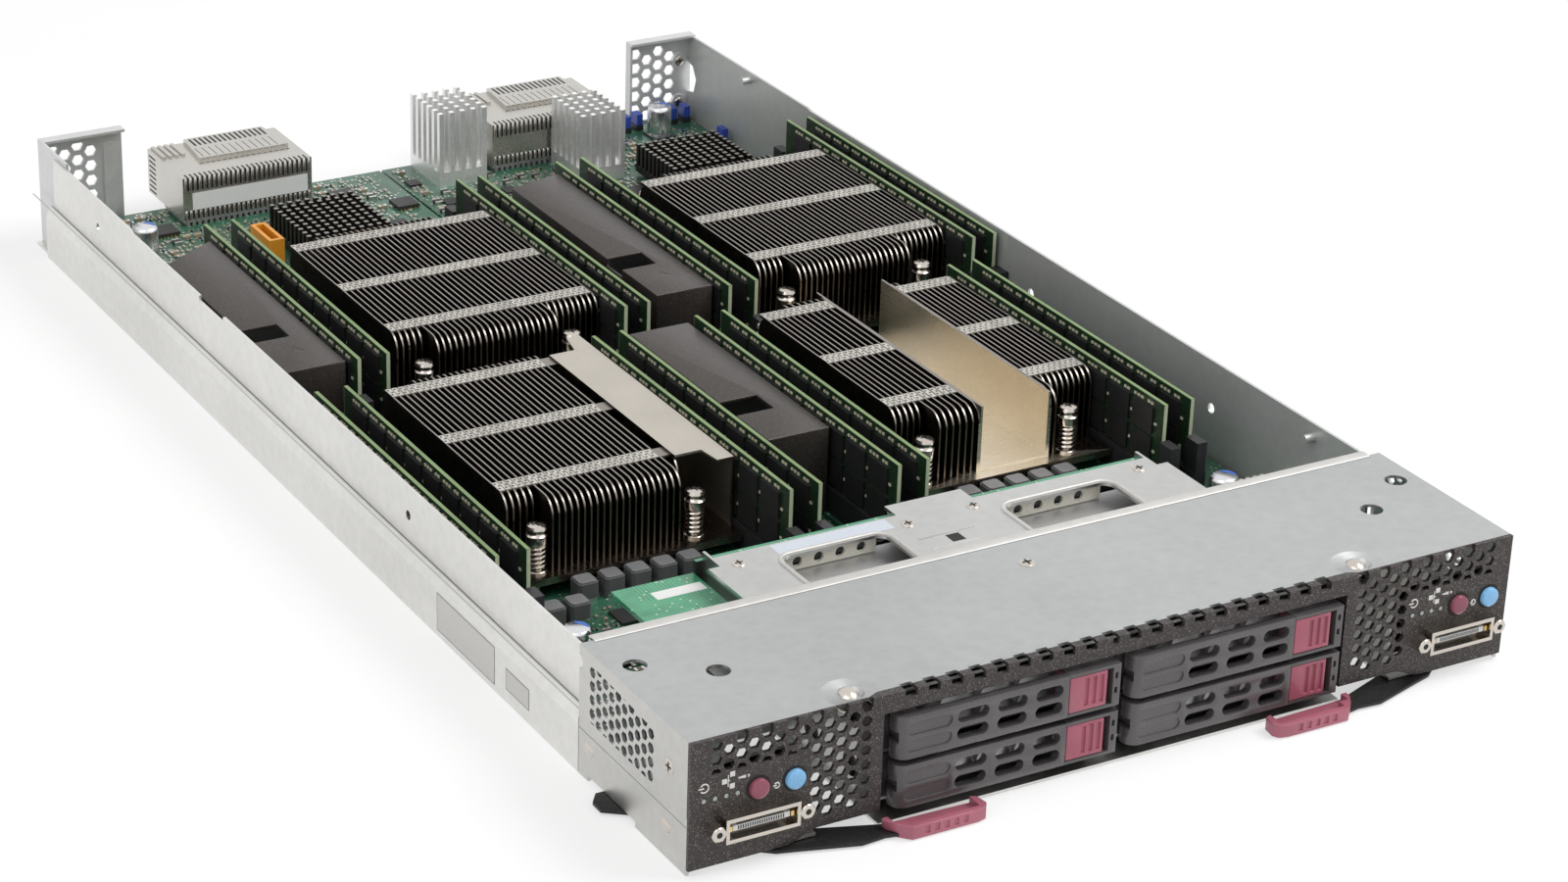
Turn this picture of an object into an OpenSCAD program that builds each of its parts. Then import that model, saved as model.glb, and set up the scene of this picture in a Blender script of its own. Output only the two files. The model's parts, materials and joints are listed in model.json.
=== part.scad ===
// Blade server: two half-width nodes side by side on one steel tray.
// X runs across the blade, +Y from the bezel to the rear connectors, +Z up.

/* [Chassis] */
// Height of the lid and the bezel
blade_h = 42.5; // [42:0.5:46]
// Width across the side faces
blade_w = 287.5; // [284:0.5:300]
// Length from the bezel face to the rear brackets
tray_l = 516; // [512:1:530]
// Thickness of the steel sheet
sheet_t = 1; // [0.8:0.1:1.2]
// Height of the lower side channels
channel_h = 16; // [14:0.5:17]
// Height of the sloped ledge over each channel
ledge_h = 5; // [4:0.5:6]
// Inset of the upper walls from the side faces
wall_inset = 2.2; // [1.8:0.1:2.2]
// Drop of the upper walls below the lid
wall_drop = 1.6; // [1:0.1:3]

/* [Lid and bezel] */
// Depth of the lid from front to rear
lid_depth = 66; // [60:1:68]
// Radius of the rolled hem on the lid's rear edge
hem_r = 2.1; // [1.6:0.1:2.3]
// Thickness of the bezel sheet
bezel_t = 1.2; // [1:0.1:1.5]
// Distance from the side face to the drive bay opening
wing_w = 62.5; // [60:0.5:63]
// Top of the drive bay opening
bay_top = 36.5; // [35.5:0.5:37.5]
// Height of the bezel's lower edge over the levers
bezel_foot = 1.9; // [1.9:0.1:2.2]
// Height of the bezel's lower edge beside the drive bay
bezel_arch = 5.2; // [4.5:0.1:6]
// Pitch of the hexagonal vents across the bezel
vent_pitch = 4.05; // [3.9:0.05:4.3]
// Corner radius of one hexagonal vent
vent_r = 1.85; // [1.6:0.05:1.95]
// Width of the square notches over the drive bay
notch_w = 3.9; // [3:0.1:4.5]
// Pitch of the square notches
notch_pitch = 7.65; // [7:0.05:9]

/* [Drives] */
// Width of one drive carrier
carrier_w = 76.3; // [76:0.1:76.6]
// Height of one drive carrier
carrier_h = 13.8; // [13.4:0.1:14]
// Length of one drive carrier
carrier_l = 101; // [98:0.5:102]
// Vertical pitch of the two carrier rows
row_pitch = 15.8; // [15.6:0.1:16]
// Height of the lower carriers over the floor line
carrier_lift = 4.8; // [4.7:0.1:5]
// Reach of the carrier faces in front of the bezel
carrier_reach = 1.6; // [1:0.1:2]
// Width of one drive
drive_w = 69.85; // [69:0.05:70]
// Height of one drive
drive_h = 9.5; // [7:0.1:9.5]
// Length of one drive
drive_l = 100.2; // [95:0.1:100.2]
// Width of the divider between the two columns
divider_w = 3; // [2.5:0.1:3.2]
// Length of the hinged carrier handle
handle_l = 57.8; // [55:0.1:58]
// Thickness of the carrier handle
handle_t = 4; // [3:0.1:4.5]
// Radius of the handle's hinge pin
handle_pin_r = 1; // [0.8:0.05:1.2]
// Sideways travel of the carrier latch
latch_travel = 1.5; // [1:0.1:1.6]

/* [Ejector levers] */
// Distance of the lever pivot from the side face
pivot_x = 16; // [15:0.5:18]
// Distance of the lever pivot behind the bezel face
pivot_y = 20; // [19:0.5:22]
// Radius of the pivot stud
pivot_r = 2.5; // [2:0.1:3]
// Thickness of the lever plate
lever_t = 1; // [0.8:0.1:1]
// Height of the moulded grip
grip_h = 4.2; // [3.6:0.1:4.2]
// Reach of the grips in front of the bezel
grip_reach = 11.2; // [10.5:0.1:13]

/* [Front controls] */
// Radius of the push buttons
button_r = 3.2; // [2.8:0.1:3.3]
// Reach of the push buttons in front of the bezel
button_reach = 1.6; // [1.2:0.1:2.5]
// Travel of the push buttons
button_travel = 1; // [0.5:0.1:1.2]
// Height of the button row
button_z = 23.4; // [22.5:0.1:24]
// Height of the front connector's centre line
port_z = 14; // [13:0.1:15]
// Distance between the two connector jackscrews
jack_span = 28.6; // [27:0.1:29]

/* [Node boards] */
// Height of the boards' top face
board_top = 7; // [6.6:0.1:7.2]
// Thickness of the boards
board_t = 1.6; // [1.2:0.1:2]
// Length of one memory module
module_l = 133.35; // [130:0.05:134]
// Height of one memory module
module_h = 30; // [28:0.25:31]
// Thickness of a memory module's board
module_t = 1.3; // [1:0.05:1.5]
// Thickness of the memory chips
chip_t = 0.9; // [0.7:0.1:1]
// Pitch of neighbouring modules
module_pitch = 10.6; // [10:0.1:10.6]
// Pitch of the two modules right of each rear heat sink
close_pitch = 9; // [8.6:0.1:9]
// Width of one memory socket
socket_w = 4.6; // [4.2:0.1:4.6]
// Distance of the front modules behind the bezel face
front_bank_y = 130.5; // [128:0.5:133]
// Gap between the front and rear modules
bank_gap = 17.5; // [17:0.5:22]

/* [Cooling] */
// Width of one heat sink
sink_w = 77.5; // [76:0.1:77.5]
// Length of the heat sinks' fins
sink_l = 106.5; // [104:0.5:108]
// Radius of the fins' upper corners
fin_corner = 6; // [3:0.5:8]
// Pitch of the heat sink fins
fin_pitch = 2.2; // [2:0.1:3]
// Thickness of one fin
fin_t = 0.6; // [0.4:0.05:0.8]
// Thickness of the heat sinks' base plates
sink_base_t = 2.4; // [2:0.1:3]
// Width of the tab rows across the fins
tab_w = 6; // [4:0.5:8]
// Drop of the fin tops below the lid
sink_drop = 4.5; // [3.5:0.1:6]
// Distance between the heat sink screws across the blade
screw_span_x = 56.5; // [55:0.5:57]
// Distance between the heat sink screws along the blade
screw_span_y = 104; // [103:0.5:105]
// Radius of a heat sink screw's head
spring_r = 3.4; // [3:0.1:3.8]
// Wall thickness of the air baffles
baffle_t = 1.2; // [1:0.1:1.5]
// Width of the rear air baffles
baffle_w = 22.3; // [20:0.1:22.6]

/* [Rear connectors] */
// Width of one rear node connector
node_port_w = 53.5; // [50:0.5:55]
// Reach of the rear connectors behind the tray
node_port_reach = 11; // [8:0.5:14]
// Height of the rear connectors above the board
node_port_h = 19.5; // [17:0.5:21]

/* [Fits] */
// Radial clearance of the hinge pins and the buttons
fit = 0.06; // [0.02:0.01:0.1]
// Gap between faces that slide past each other
slide_gap = 0.3; // [0.25:0.05:0.4]

/* [Hidden] */
$fn = 48;

// The walls stand on the floor inside the channels.
wall_in = wall_inset + sheet_t;
wall_top = blade_h - wall_drop;
lid_under = blade_h - sheet_t;

// The blade holds two nodes side by side, with a gap between them.
node_gap = 2.5;
node_pitch = (blade_w - node_gap) / 2;
rear_bank_y = front_bank_y + module_l + bank_gap;
tray_rear = tray_l + node_port_reach;
origin_y = -(tray_rear - grip_reach) / 2;
control_shift = blade_w - 41;
button_x = [22, 33.7];

// The lever plate runs in the gap below the flange of the side plate.
lever_z = bezel_foot - slide_gap - lever_t;
lever_bay = [62, lid_depth - 6];

// The drive bay holds two columns of two carriers.
bay_mid = blade_w / 2 + 0.65;
column_gap = divider_w + 2 * 0.6;
carrier_x = [bay_mid - column_gap / 2 - carrier_w, bay_mid + column_gap / 2];
cage_wall = [carrier_x[0] - 0.6 - sheet_t, carrier_x[1] + carrier_w + 0.6];
cage_top = blade_h - 2 * hem_r - slide_gap;
cage_l = 104;
backplane_y = 109;
latch_x = handle_l + 0.9;
knuckle_r = handle_t;
crossbar_y = 2 * knuckle_r + 0.4;
lug_band = [5.2, 8.6];
cage_front = crossbar_y - carrier_reach + 1.2;
drive_seat = 1.6;
control_board_y = 6;
control_board_x = [3, 39.4];

// Fold depths of the bezel over the wings and over the bay.
fold_wing = 1.4;
fold_bay = 3;
notch_depth = 4;

// The node boards and what stands on them.
board_under = board_top - board_t;
board_in = wall_in + 1.4;
board_front = lid_depth + 6;
board_notch = [58, backplane_y + 3];
board_l = tray_l - 4;
rear_end = rear_bank_y + module_l;

// The first bank and its heat sink are placed from the wall. The second rear bank is placed from the
// end of its node, and the second front bank from its heat sink.
bank_side = module_pitch + socket_w / 2;
rear_first = wall_in + 1 + baffle_w + 2.8;
rear_sink_x = rear_first + bank_side + 8.1;
rear_second = node_pitch - close_pitch - socket_w / 2 - 0.8;
front_first = wall_in + 2.5;
front_sink_x = front_first + bank_side + 9.4;
front_second = front_sink_x + sink_w + 2.9;
front_banks = [front_first, front_second];
rear_banks = [rear_first, rear_second];
socket_h = 9;
module_seat = board_top + 3;
sink_foot = board_top + 5;
sink_top = blade_h - sink_drop;
rear_sink = [rear_sink_x, rear_bank_y + 6.6];
front_sink = [front_sink_x, front_bank_y + 29.5];
sink_screw = [6.5, 1];
channel_x = 28.2;
channel_w = 25.8;
cover_w = 16;
node_port_x = [rear_sink_x + 1.2, node_pitch + rear_sink_x - 9.8];
node_port_y = tray_l - 25.4;

// Places something in the blade's own corner frame.
module place() {
  translate([-blade_w / 2, origin_y, 0]) children();
}

// A box between two corners.
module block(low, high) {
  translate(low) cube(high - low);
}

// Draws something on the left and its mirror image on the right.
module both_sides() {
  children();
  right_side() children();
}

module right_side() {
  translate([blade_w, 0, 0]) mirror([1, 0, 0]) children();
}

// Draws something for each of the two nodes.
module both_nodes() {
  for (i = [0, 1]) translate([i * node_pitch, 0, 0]) children();
}

// A plate standing across X, drawn in the plane of Y and Z.
module side_sheet(x, thick) {
  translate([x, 0, 0]) rotate([90, 0, 90]) linear_extrude(thick) children();
}

// A plate standing across Y, drawn in the plane of X and Z.
module front_sheet(y, thick) {
  translate([0, y + thick, 0]) rotate([90, 0, 0]) linear_extrude(thick) children();
}

// A slot with round ends between two points, in two dimensions.
module pill(x0, x1, y, r) {
  translate([x0 + r, y - r]) square([x1 - x0 - 2 * r, 2 * r]);
  translate([x0 + r, y]) circle(r);
  translate([x1 - r, y]) circle(r);
}

// A field of hexagons whose every second column is moved half a row.
module hex_field(origin, columns, rows, pitch, r) {
  row = pitch * 2 / sqrt(3);
  for (i = [0 : columns - 1], j = [0 : rows - 1])
    translate([origin[0] + i * pitch, origin[1] - j * row - (i % 2) * row / 2])
      circle(r, $fn = 6);
}

// Half of the tray's profile across the blade, from the middle to the left side.
module tray_half() {
  bend = channel_h - 0.4;
  polygon([
    [blade_w / 2, 0], [0, 0], [0, channel_h], [wall_inset, channel_h + ledge_h],
    [wall_inset, channel_h + ledge_h - 1.8], [sheet_t, bend], [sheet_t, sheet_t],
    [blade_w / 2, sheet_t]
  ]);
}

module tray_profile() {
  tray_half();
  translate([blade_w, 0]) mirror([1, 0]) tray_half();
}

module base_tray() {
  color("gainsboro") place() {
    difference() {
      union() {
        front_sheet(lid_depth, tray_l - 14 - lid_depth) tray_profile();
        block([sheet_t, lever_bay[1], 0], [blade_w - sheet_t, tray_l, sheet_t]);
        block([lever_bay[0], 0, 0], [blade_w - lever_bay[0], lever_bay[1] + 1, sheet_t]);
      }
      // Louvred slots behind the drives let air under the boards.
      for (i = [0 : 11])
        block([blade_w / 2 - 65.75 + i * 11, front_bank_y - 12.5, -1],
              [blade_w / 2 - 59.75 + i * 11, front_bank_y - 6.5, sheet_t + 1]);
    }
    both_nodes() standoffs();
  }
}

module standoffs() {
  right = node_pitch - 17.5;
  middle = rear_bank_y - 7.35;
  spots = [
    [20, front_bank_y - 8.5], [right, front_bank_y - 8.5], [20, middle], [right, middle],
    [45, rear_end + 9.3], [right - 7, rear_end + 9.3], [14, tray_l - 16], [right, tray_l - 16]
  ];
  for (p = spots)
    translate([p[0], p[1], sheet_t]) cylinder(r = 2.6, h = board_under - sheet_t);
}

module left_wall() {
  step_y = tray_l - 95;
  color("gainsboro") place() difference() {
    side_sheet(wall_inset, sheet_t) polygon([
      [lid_depth, sheet_t], [tray_l - 16, sheet_t], [tray_l - 19, wall_top - 4],
      [tray_l - 19, wall_top], [step_y, wall_top], [step_y - 3, wall_top - 1], [step_y - 66, wall_top - 1],
      [step_y - 66, wall_top - 3.2], [step_y - 87, wall_top - 3.2], [step_y - 87, wall_top - 1],
      [lid_depth, wall_top - 1]
    ]);
    for (y = [lid_depth + 120, tray_l - 64])
      translate([wall_inset - 1, y, 30]) rotate([0, 90, 0]) cylinder(r = 1.6, h = sheet_t + 2);
  }
}

module right_wall() {
  step_y = tray_l - 96;
  tabs = [for (y = [274, 219, 174, 153, 135, 32]) tray_l - y];
  x = blade_w - wall_in;
  color("gainsboro") place() {
    difference() {
      side_sheet(x, sheet_t) polygon([
        [lid_depth, sheet_t], [tray_l - sheet_t, sheet_t], [tray_l - sheet_t, 17], [tray_l - 6, 18],
        [tray_l - 8, 24], [tray_l - 5, 29], [tray_l - sheet_t, 30], [tray_l - sheet_t, blade_h - sheet_t],
        [step_y, blade_h - sheet_t], [step_y - 3, wall_top], [lid_depth, wall_top]
      ]);
      for (y = [lid_depth + 84, lid_depth + 194, tray_l - 116])
        translate([x - 1, y, 24]) rotate([0, 90, 0]) cylinder(r = 1.8, h = sheet_t + 2);
    }
    for (y = tabs)
      block([x + sheet_t, y, wall_top - 4], [blade_w - 0.6, y + 7, wall_top - 3]);
    for (p = [[tray_l - 52, blade_h - 4], [lid_depth + 29, wall_top - 4.5]])
      translate([x - 4, p[0], p[1]]) rotate([0, 90, 0]) cylinder(r = 1.4, h = 4);
  }
}

// The left bracket: a hexagon field beside a long pill-shaped emboss.
module rear_bracket_left() {
  w = 33.3;
  color("gainsboro") place() translate([wall_in, 0, 0]) difference() {
    union() {
      block([0, tray_l - sheet_t, sheet_t], [w, tray_l, blade_h]);
      block([0, tray_l - 5, blade_h - sheet_t], [w, tray_l, blade_h]);
      block([0, tray_l - 30, sheet_t], [sheet_t, tray_l, blade_h]);
      front_sheet(tray_l - sheet_t - 0.7, 0.7)
        translate([w - 5, 22]) rotate(90) translate([-15, 0]) pill(0, 30, 0, 2.6);
    }
    front_sheet(tray_l - 3, 4) intersection() {
      hex_field([5, blade_h - 5], 4, 7, 5.2, 2.4);
      translate([2.6, 4]) square([w - 12, blade_h - 8]);
    }
  }
}

// The right bracket: four columns of hexagons and two round riveted pads.
module rear_bracket_right() {
  w = 28.5;
  color("gainsboro") place() translate([blade_w - wall_in - w, 0, 0]) difference() {
    union() {
      block([0, tray_l - sheet_t, sheet_t], [w + 1, tray_l, blade_h]);
      block([0, tray_l - 5, blade_h - sheet_t], [w + 1, tray_l, blade_h]);
      block([0, tray_l - 4, board_top], [sheet_t, tray_l, blade_h]);
      for (z = [13, 31])
        translate([w - 4.5, tray_l - sheet_t, z]) rotate([90, 0, 0]) cylinder(r = 3.4, h = 0.7);
    }
    front_sheet(tray_l - 3, 4) hex_field([4, blade_h - 6], 4, 6, 5.2, 2.4);
  }
}

// Square notches that run over the fold and into the lid's edge.
module fold_notches() {
  for (x = [wing_w + 6.8 : notch_pitch : blade_w - wing_w - 7])
    block([x, -1, blade_h - 2.4], [x + notch_w, notch_depth, blade_h + 1]);
}

module lid_plan() {
  deep_from = wing_w - 4.5;
  polygon([
    [0, fold_wing], [deep_from, fold_wing], [wing_w - 1, fold_bay], [blade_w - wing_w + 1, fold_bay],
    [blade_w - deep_from, fold_wing], [blade_w, fold_wing], [blade_w, lid_depth], [0, lid_depth]
  ]);
}

module lid_holes() {
  for (p = [[8, 47.3], [27.8, 34]]) {
    translate(p) circle(3.6);
    translate([blade_w - p[0], p[1]]) circle(3.6);
  }
}

function lid_screws() = [[54.6, 5.8], [blade_w - 54.6, 5.8]];

module skirt_plan() {
  field = [19.6, 19.2, 41, 20];
  difference() {
    polygon([[fold_wing, 18.4], [lid_depth, 15.5], [lid_depth, blade_h], [fold_wing, blade_h]]);
    intersection() {
      hex_field([22.6, 39.2], 10, 5, 3.9, 1.8);
      polygon([
        [field[0], field[1]], [field[0] + field[2], field[1] + 1], [field[0] + field[2], field[1] + field[3]],
        [field[0], field[1] + field[3] - 2.6]
      ]);
    }
    translate([lid_depth, 36.9]) circle(2.2);
  }
}

module front_lid() {
  color("gainsboro") place() difference() {
    union() {
      translate([0, 0, lid_under]) linear_extrude(sheet_t) difference() {
        lid_plan();
        lid_holes();
      }
      for (p = lid_screws())
        translate([p[0], p[1], lid_under - 0.8]) cylinder(r1 = 3.4, r2 = 4.3, h = 0.8);
      both_sides() side_sheet(0, sheet_t) skirt_plan();
      translate([4.5, lid_depth, lid_under]) cube([blade_w - 9, hem_r / 2, sheet_t]);
      translate([4.5, lid_depth + hem_r / 2, blade_h - hem_r])
        rotate([0, 90, 0]) cylinder(r = hem_r, h = blade_w - 9);
    }
    translate([0, lid_depth + hem_r / 2, blade_h - hem_r]) rotate([0, 90, 0])
      cylinder(r = hem_r - 0.8, h = blade_w);
    for (p = lid_screws()) {
      translate([p[0], p[1], lid_under - 2]) cylinder(r = 1.7, h = 5);
      translate([p[0], p[1], lid_under - 0.1]) cylinder(r1 = 2.9, r2 = 4.1, h = sheet_t + 0.2);
    }
    fold_notches();
  }
}

// The bezel's lower edge swings up in a half wave from the wing to the arch.
function bezel_wave(from, to) = [
  for (i = [0 : 8]) [from + (to - from) * i / 8,
    bezel_foot + (bezel_arch - bezel_foot) * (1 - cos(180 * i / 8)) / 2]
];

module bezel_half() {
  polygon(concat(
    [[blade_w / 2, blade_h], [0, blade_h], [0, bezel_foot]], bezel_wave(31, 42),
    [[wing_w, bezel_arch], [wing_w, bay_top], [blade_w / 2, bay_top]]
  ));
}

// Vents fill the column beside the bay and a band along the top of the wing.
module wing_vents() {
  row = vent_pitch * 2 / sqrt(3);
  last = wing_w - 5.6;
  columns = 13;
  intersection() {
    hex_field([last - (columns - 1) * vent_pitch, blade_h - 2.1], columns, 7, vent_pitch, vent_r);
    union() {
      translate([6, blade_h - 11.2]) square([wing_w - 9, 12]);
      translate([38.4, 8.6]) square([wing_w - 41.4, blade_h - 8]);
    }
  }
}

module control_holes() {
  for (x = button_x) translate([x, button_z]) circle(button_r + fit);
  for (x = led_row()) translate([x, button_z]) circle(0.95);
  for (x = led_row()) translate([x, button_z - 3.6]) circle(0.95);
  translate([10.3, port_z - 3.3]) square([23, 6.6]);
  for (x = [-1, 1]) translate([21.8 + x * jack_span / 2, port_z]) circle(1.55);
}

function led_row() = [for (i = [0 : 3]) 4.5 + i * 3.6];

module bezel() {
  color([0.16, 0.14, 0.14]) place() difference() {
    union() {
      front_sheet(0, bezel_t) difference() {
        union() {
          bezel_half();
          translate([blade_w, 0]) mirror([1, 0]) bezel_half();
        }
        wing_vents();
        translate([blade_w, 0]) mirror([1, 0]) wing_vents();
        control_holes();
        translate([control_shift, 0]) control_holes();
      }
      // The top edge folds back level with the lid, deeper over the bay.
      translate([0, 0, lid_under]) linear_extrude(sheet_t) difference() {
        translate([0, bezel_t / 2]) square([blade_w, fold_bay - bezel_t / 2]);
        lid_plan();
      }
      both_sides() block([wing_w - 1, 0, bezel_arch], [wing_w, 12, bay_top]);
    }
    // Square notches and half vents run over the fold.
    fold_notches();
    both_sides() for (i = [0 : 5])
      block([wing_w - 5.6 - 2 * i * vent_pitch - vent_r, -1, blade_h - 2.1],
            [wing_w - 5.6 - 2 * i * vent_pitch + vent_r, fold_wing - 0.3, blade_h + 1]);
  }
}

// Lower front side plate with an inward flange that carries the lever pivot.
module side_plate() {
  difference() {
    union() {
      side_sheet(0, sheet_t) polygon([[bezel_t, 0], [lid_depth, 0], [lid_depth, 15.5], [bezel_t, 18.4]]);
      block([0, bezel_t, bezel_foot], [42, lid_depth - 6, bezel_foot + sheet_t]);
    }
    block([-1, 31, -1], [sheet_t + 0.01, 60, bezel_foot]);
    translate([pivot_x, pivot_y, 0]) cylinder(r = pivot_r, h = 10);
    for (p = plate_screws())
      translate([-1, p[0], p[1]]) rotate([0, 90, 0]) cylinder(r = 1.6, h = 4);
  }
}

function plate_screws() = [[58.2, 10.8], [12.1, 10.1]];

module side_plates() {
  color("gainsboro") place() both_sides() side_plate();
}

// A cross-recessed screw along Z with its head's underside at zero.
module cross_screw(head_r, head_h, shank_r, shank_l) {
  difference() {
    cylinder(r1 = head_r, r2 = head_r * 0.8, h = head_h);
    for (a = [0, 90]) rotate(a) block([-head_r * 0.55, -0.3, head_h - 0.5], [head_r * 0.55, 0.3, head_h + 1]);
  }
  translate([0, 0, -shank_l]) cylinder(r = shank_r, h = shank_l);
}

module cover_screws() {
  color("silver") place() {
    for (p = lid_screws()) translate([p[0], p[1], lid_under]) cross_screw(2.8, 1.5, 1.6, 6);
    both_sides() for (p = plate_screws())
      translate([0, p[0], p[1]]) rotate([0, -90, 0]) cross_screw(2.7, 0.7, 1.5, 5);
  }
}

module rivet(r, h) {
  cylinder(r1 = r, r2 = r * 0.75, h = h);
}

module rivets() {
  color("silver") place() {
    translate([blade_w / 2, 51.3, blade_h]) rivet(2.6, 0.5);
    for (p = [[-74, 97], [-14, 97], [11, 99], [73, 98]])
      translate([bay_mid + p[0], p[1], cage_top]) rivet(2.2, 0.6);
    both_sides() translate([0, 11.8, 29.8]) rotate([0, -90, 0]) rivet(2.4, 0.4);
    for (z = [13, 31])
      translate([blade_w - wall_in - 4.5, tray_l - sheet_t - 0.7, z]) rotate([90, 0, 0]) rivet(2, 0.6);
  }
}

// The rounded windows of the cage's bridge.
module cage_windows() {
  for (w = [[-61, -24], [19, 59]])
    translate([bay_mid + w[0] + 4, 77]) {
      square([w[1] - w[0] - 8, 14]);
      translate([-4, 0]) pill(0, w[1] - w[0], 0, 4);
      translate([-4, 14]) pill(0, w[1] - w[0], 0, 4);
      translate([-4, 0]) square([w[1] - w[0], 14]);
    }
}

module drive_cage() {
  rails = [carrier_lift - slide_gap - 1.4, carrier_lift + row_pitch - slide_gap - 1.4];
  divider = bay_mid - divider_w / 2;
  face_foot = carrier_lift + row_pitch + drive_seat + drive_h + slide_gap;
  color("lightgray") place() {
    difference() {
      union() {
        for (x = cage_wall) block([x, cage_front, sheet_t], [x + sheet_t, backplane_y, cage_top]);
        block([divider, cage_front, sheet_t], [divider + divider_w, backplane_y, cage_top]);
        // The top plate has a wider rear half that stands clear of the walls.
        translate([0, 0, cage_top - sheet_t]) linear_extrude(sheet_t) difference() {
          union() {
            translate([cage_wall[0], cage_front])
              square([cage_wall[1] + sheet_t - cage_wall[0], cage_l - cage_front]);
            translate([cage_wall[0] - 4, lid_depth + 8]) square([cage_wall[1] - cage_wall[0] + 9, 24]);
            translate([bay_mid - 14, cage_l - 1]) square([28, 8]);
          }
          cage_windows();
        }
      }
      // Cut-outs in the side walls for air and cables.
      for (y = [20 : 22 : 90]) for (z = [10, 26])
        translate([0, y, z]) rotate([0, 90, 0]) cylinder(r = 4, h = blade_w);
    }
    // Runner ledges under each row of carriers.
    for (z = rails) {
      for (x = [cage_wall[0] + sheet_t, divider + divider_w])
        block([x, cage_front, z], [x + 4, cage_l, z + 1.4]);
      for (x = [divider, cage_wall[1]])
        block([x - 4, cage_front, z], [x, cage_l, z + 1.4]);
    }
    // Keyed inner faces hang behind the windows.
    for (w = [[-59, -26], [21, 57]])
      difference() {
        block([bay_mid + w[0], 96, face_foot], [bay_mid + w[1], 97, cage_top - sheet_t]);
        for (i = [0 : 3])
          translate([bay_mid + w[0] + 5 + i * 7.6, 95, (face_foot + cage_top) / 2 - 0.4])
            rotate([-90, 0, 0]) cylinder(r = 1.7, h = 3);
      }
    // Rims round the windows stand proud of the plate.
    translate([0, 0, cage_top]) linear_extrude(0.5) difference() {
      for (w = [[-62.5, -22.5], [17.5, 60.5]])
        translate([bay_mid + w[0], 72]) square([w[1] - w[0], 1.4]);
      cage_windows();
    }
  }
}

module drive_backplane() {
  x0 = cage_wall[0] - 2;
  x1 = cage_wall[1] + 3;
  color("seagreen") place() {
    difference() {
      block([x0, backplane_y, board_top + 1], [x1, backplane_y + board_t, cage_top - 3]);
      for (x = [x0 + 12 : 18 : x1 - 10])
        translate([x, backplane_y - 1, 30]) rotate([-90, 0, 0]) cylinder(r = 3, h = 5);
    }
    for (cx = carrier_x, row = [0, 1])
      block([cx + 18, backplane_y - 5, carrier_lift + row * row_pitch + 3],
            [cx + 58, backplane_y, carrier_lift + row * row_pitch + 9]);
    // The flat adapter board stands on a tall board-to-board connector.
    block([x0 - 28.4, lid_depth + 8, 29], [x0, backplane_y + board_t, 29 + board_t]);
    block([x0 - 24.4, lid_depth + 20, board_top], [x0 - 8.4, lid_depth + 28, 29]);
  }
}

// Moves something to the place of one carrier; its corner is the carrier's own.
module carrier_place(n) {
  place() translate([carrier_x[(n - 1) % 2], -carrier_reach, carrier_lift + row_pitch * floor((n - 1) / 2)])
    children();
}

module carrier_vents(grow) {
  for (c = [[20.3, 31], [34, 44], [47, 56.4]], z = [carrier_h * 0.3, carrier_h * 0.7])
    pill(c[0] - grow, c[1] + grow, z, 2 + grow);
}

module carrier(n) {
  rail_y = crossbar_y + 1.4;
  color([0.22, 0.2, 0.2]) carrier_place(n) {
    difference() {
      front_sheet(crossbar_y, 1.4) difference() {
        square([carrier_w, carrier_h]);
        carrier_vents(0.6);
      }
    }
    // Right post and the two bars that guide the latch.
    difference() {
      block([latch_x + 15, 0, 0], [carrier_w, crossbar_y, carrier_h]);
      for (z = [carrier_h * 0.3, carrier_h * 0.65])
        block([carrier_w - 1.9, -1, z], [carrier_w - 0.9, 1, z + 2]);
    }
    for (z = [0, carrier_h - 1])
      block([latch_x - 0.2, 0, z], [latch_x + 15, crossbar_y, z + 1]);
    // Side rails with a foot under the drive.
    for (x = [0.2, carrier_w - 2.2]) {
      block([x, rail_y, 0.6], [x + 2, carrier_l, carrier_h - 0.8]);
    }
    for (y = [rail_y, 44, carrier_l - 14])
      block([2.2, y, 0.6], [carrier_w - 2.2, y + 14, drive_seat]);
    // Hinge lug and pin of the handle.
    translate([0, 0, lug_band[0] + slide_gap]) linear_extrude(lug_band[1] - lug_band[0] - 2 * slide_gap) {
      translate([hinge_x() - 2.2, knuckle_r]) square([4.4, crossbar_y - knuckle_r]);
      translate([hinge_x(), knuckle_r]) circle(2.2);
    }
    translate([hinge_x(), knuckle_r, 1.2]) cylinder(r = handle_pin_r, h = carrier_h - 2.4);
  }
}

function hinge_x() = 0.6 + knuckle_r;

module drive(n) {
  y = crossbar_y + 1.4;
  color("silver") carrier_place(n)
    translate([(carrier_w - drive_w) / 2, y, drive_seat]) difference() {
      cube([drive_w, drive_l - 9, drive_h]);
      block([6, drive_l - 11, 1], [46, drive_l, 5]);
    }
}

module carrier_handle(n) {
  color([0.2, 0.18, 0.18]) carrier_place(n) difference() {
    union() {
      translate([hinge_x(), knuckle_r, 0]) cylinder(r = knuckle_r, h = carrier_h);
      block([hinge_x(), 0, 0], [0.6 + handle_l, handle_t * 0.7, carrier_h]);
      block([0.6 + handle_l - 2, 0, 0.8], [0.6 + handle_l, handle_t, carrier_h - 0.8]);
    }
    // Two long finger recesses and six vents.
    front_sheet(-1, 1.5) for (z = [carrier_h * 0.3, carrier_h * 0.7]) pill(3.4, 18.6, z, 2.1);
    front_sheet(-1, handle_t + 2) carrier_vents(0);
    block([-1, 1.4, lug_band[0]], [2 * knuckle_r + 1.4, 3 * knuckle_r, lug_band[1]]);
    translate([hinge_x(), knuckle_r, 1.2 - fit])
      cylinder(r = handle_pin_r + fit, h = carrier_h - 2.4 + 2 * fit);
  }
}

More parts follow.
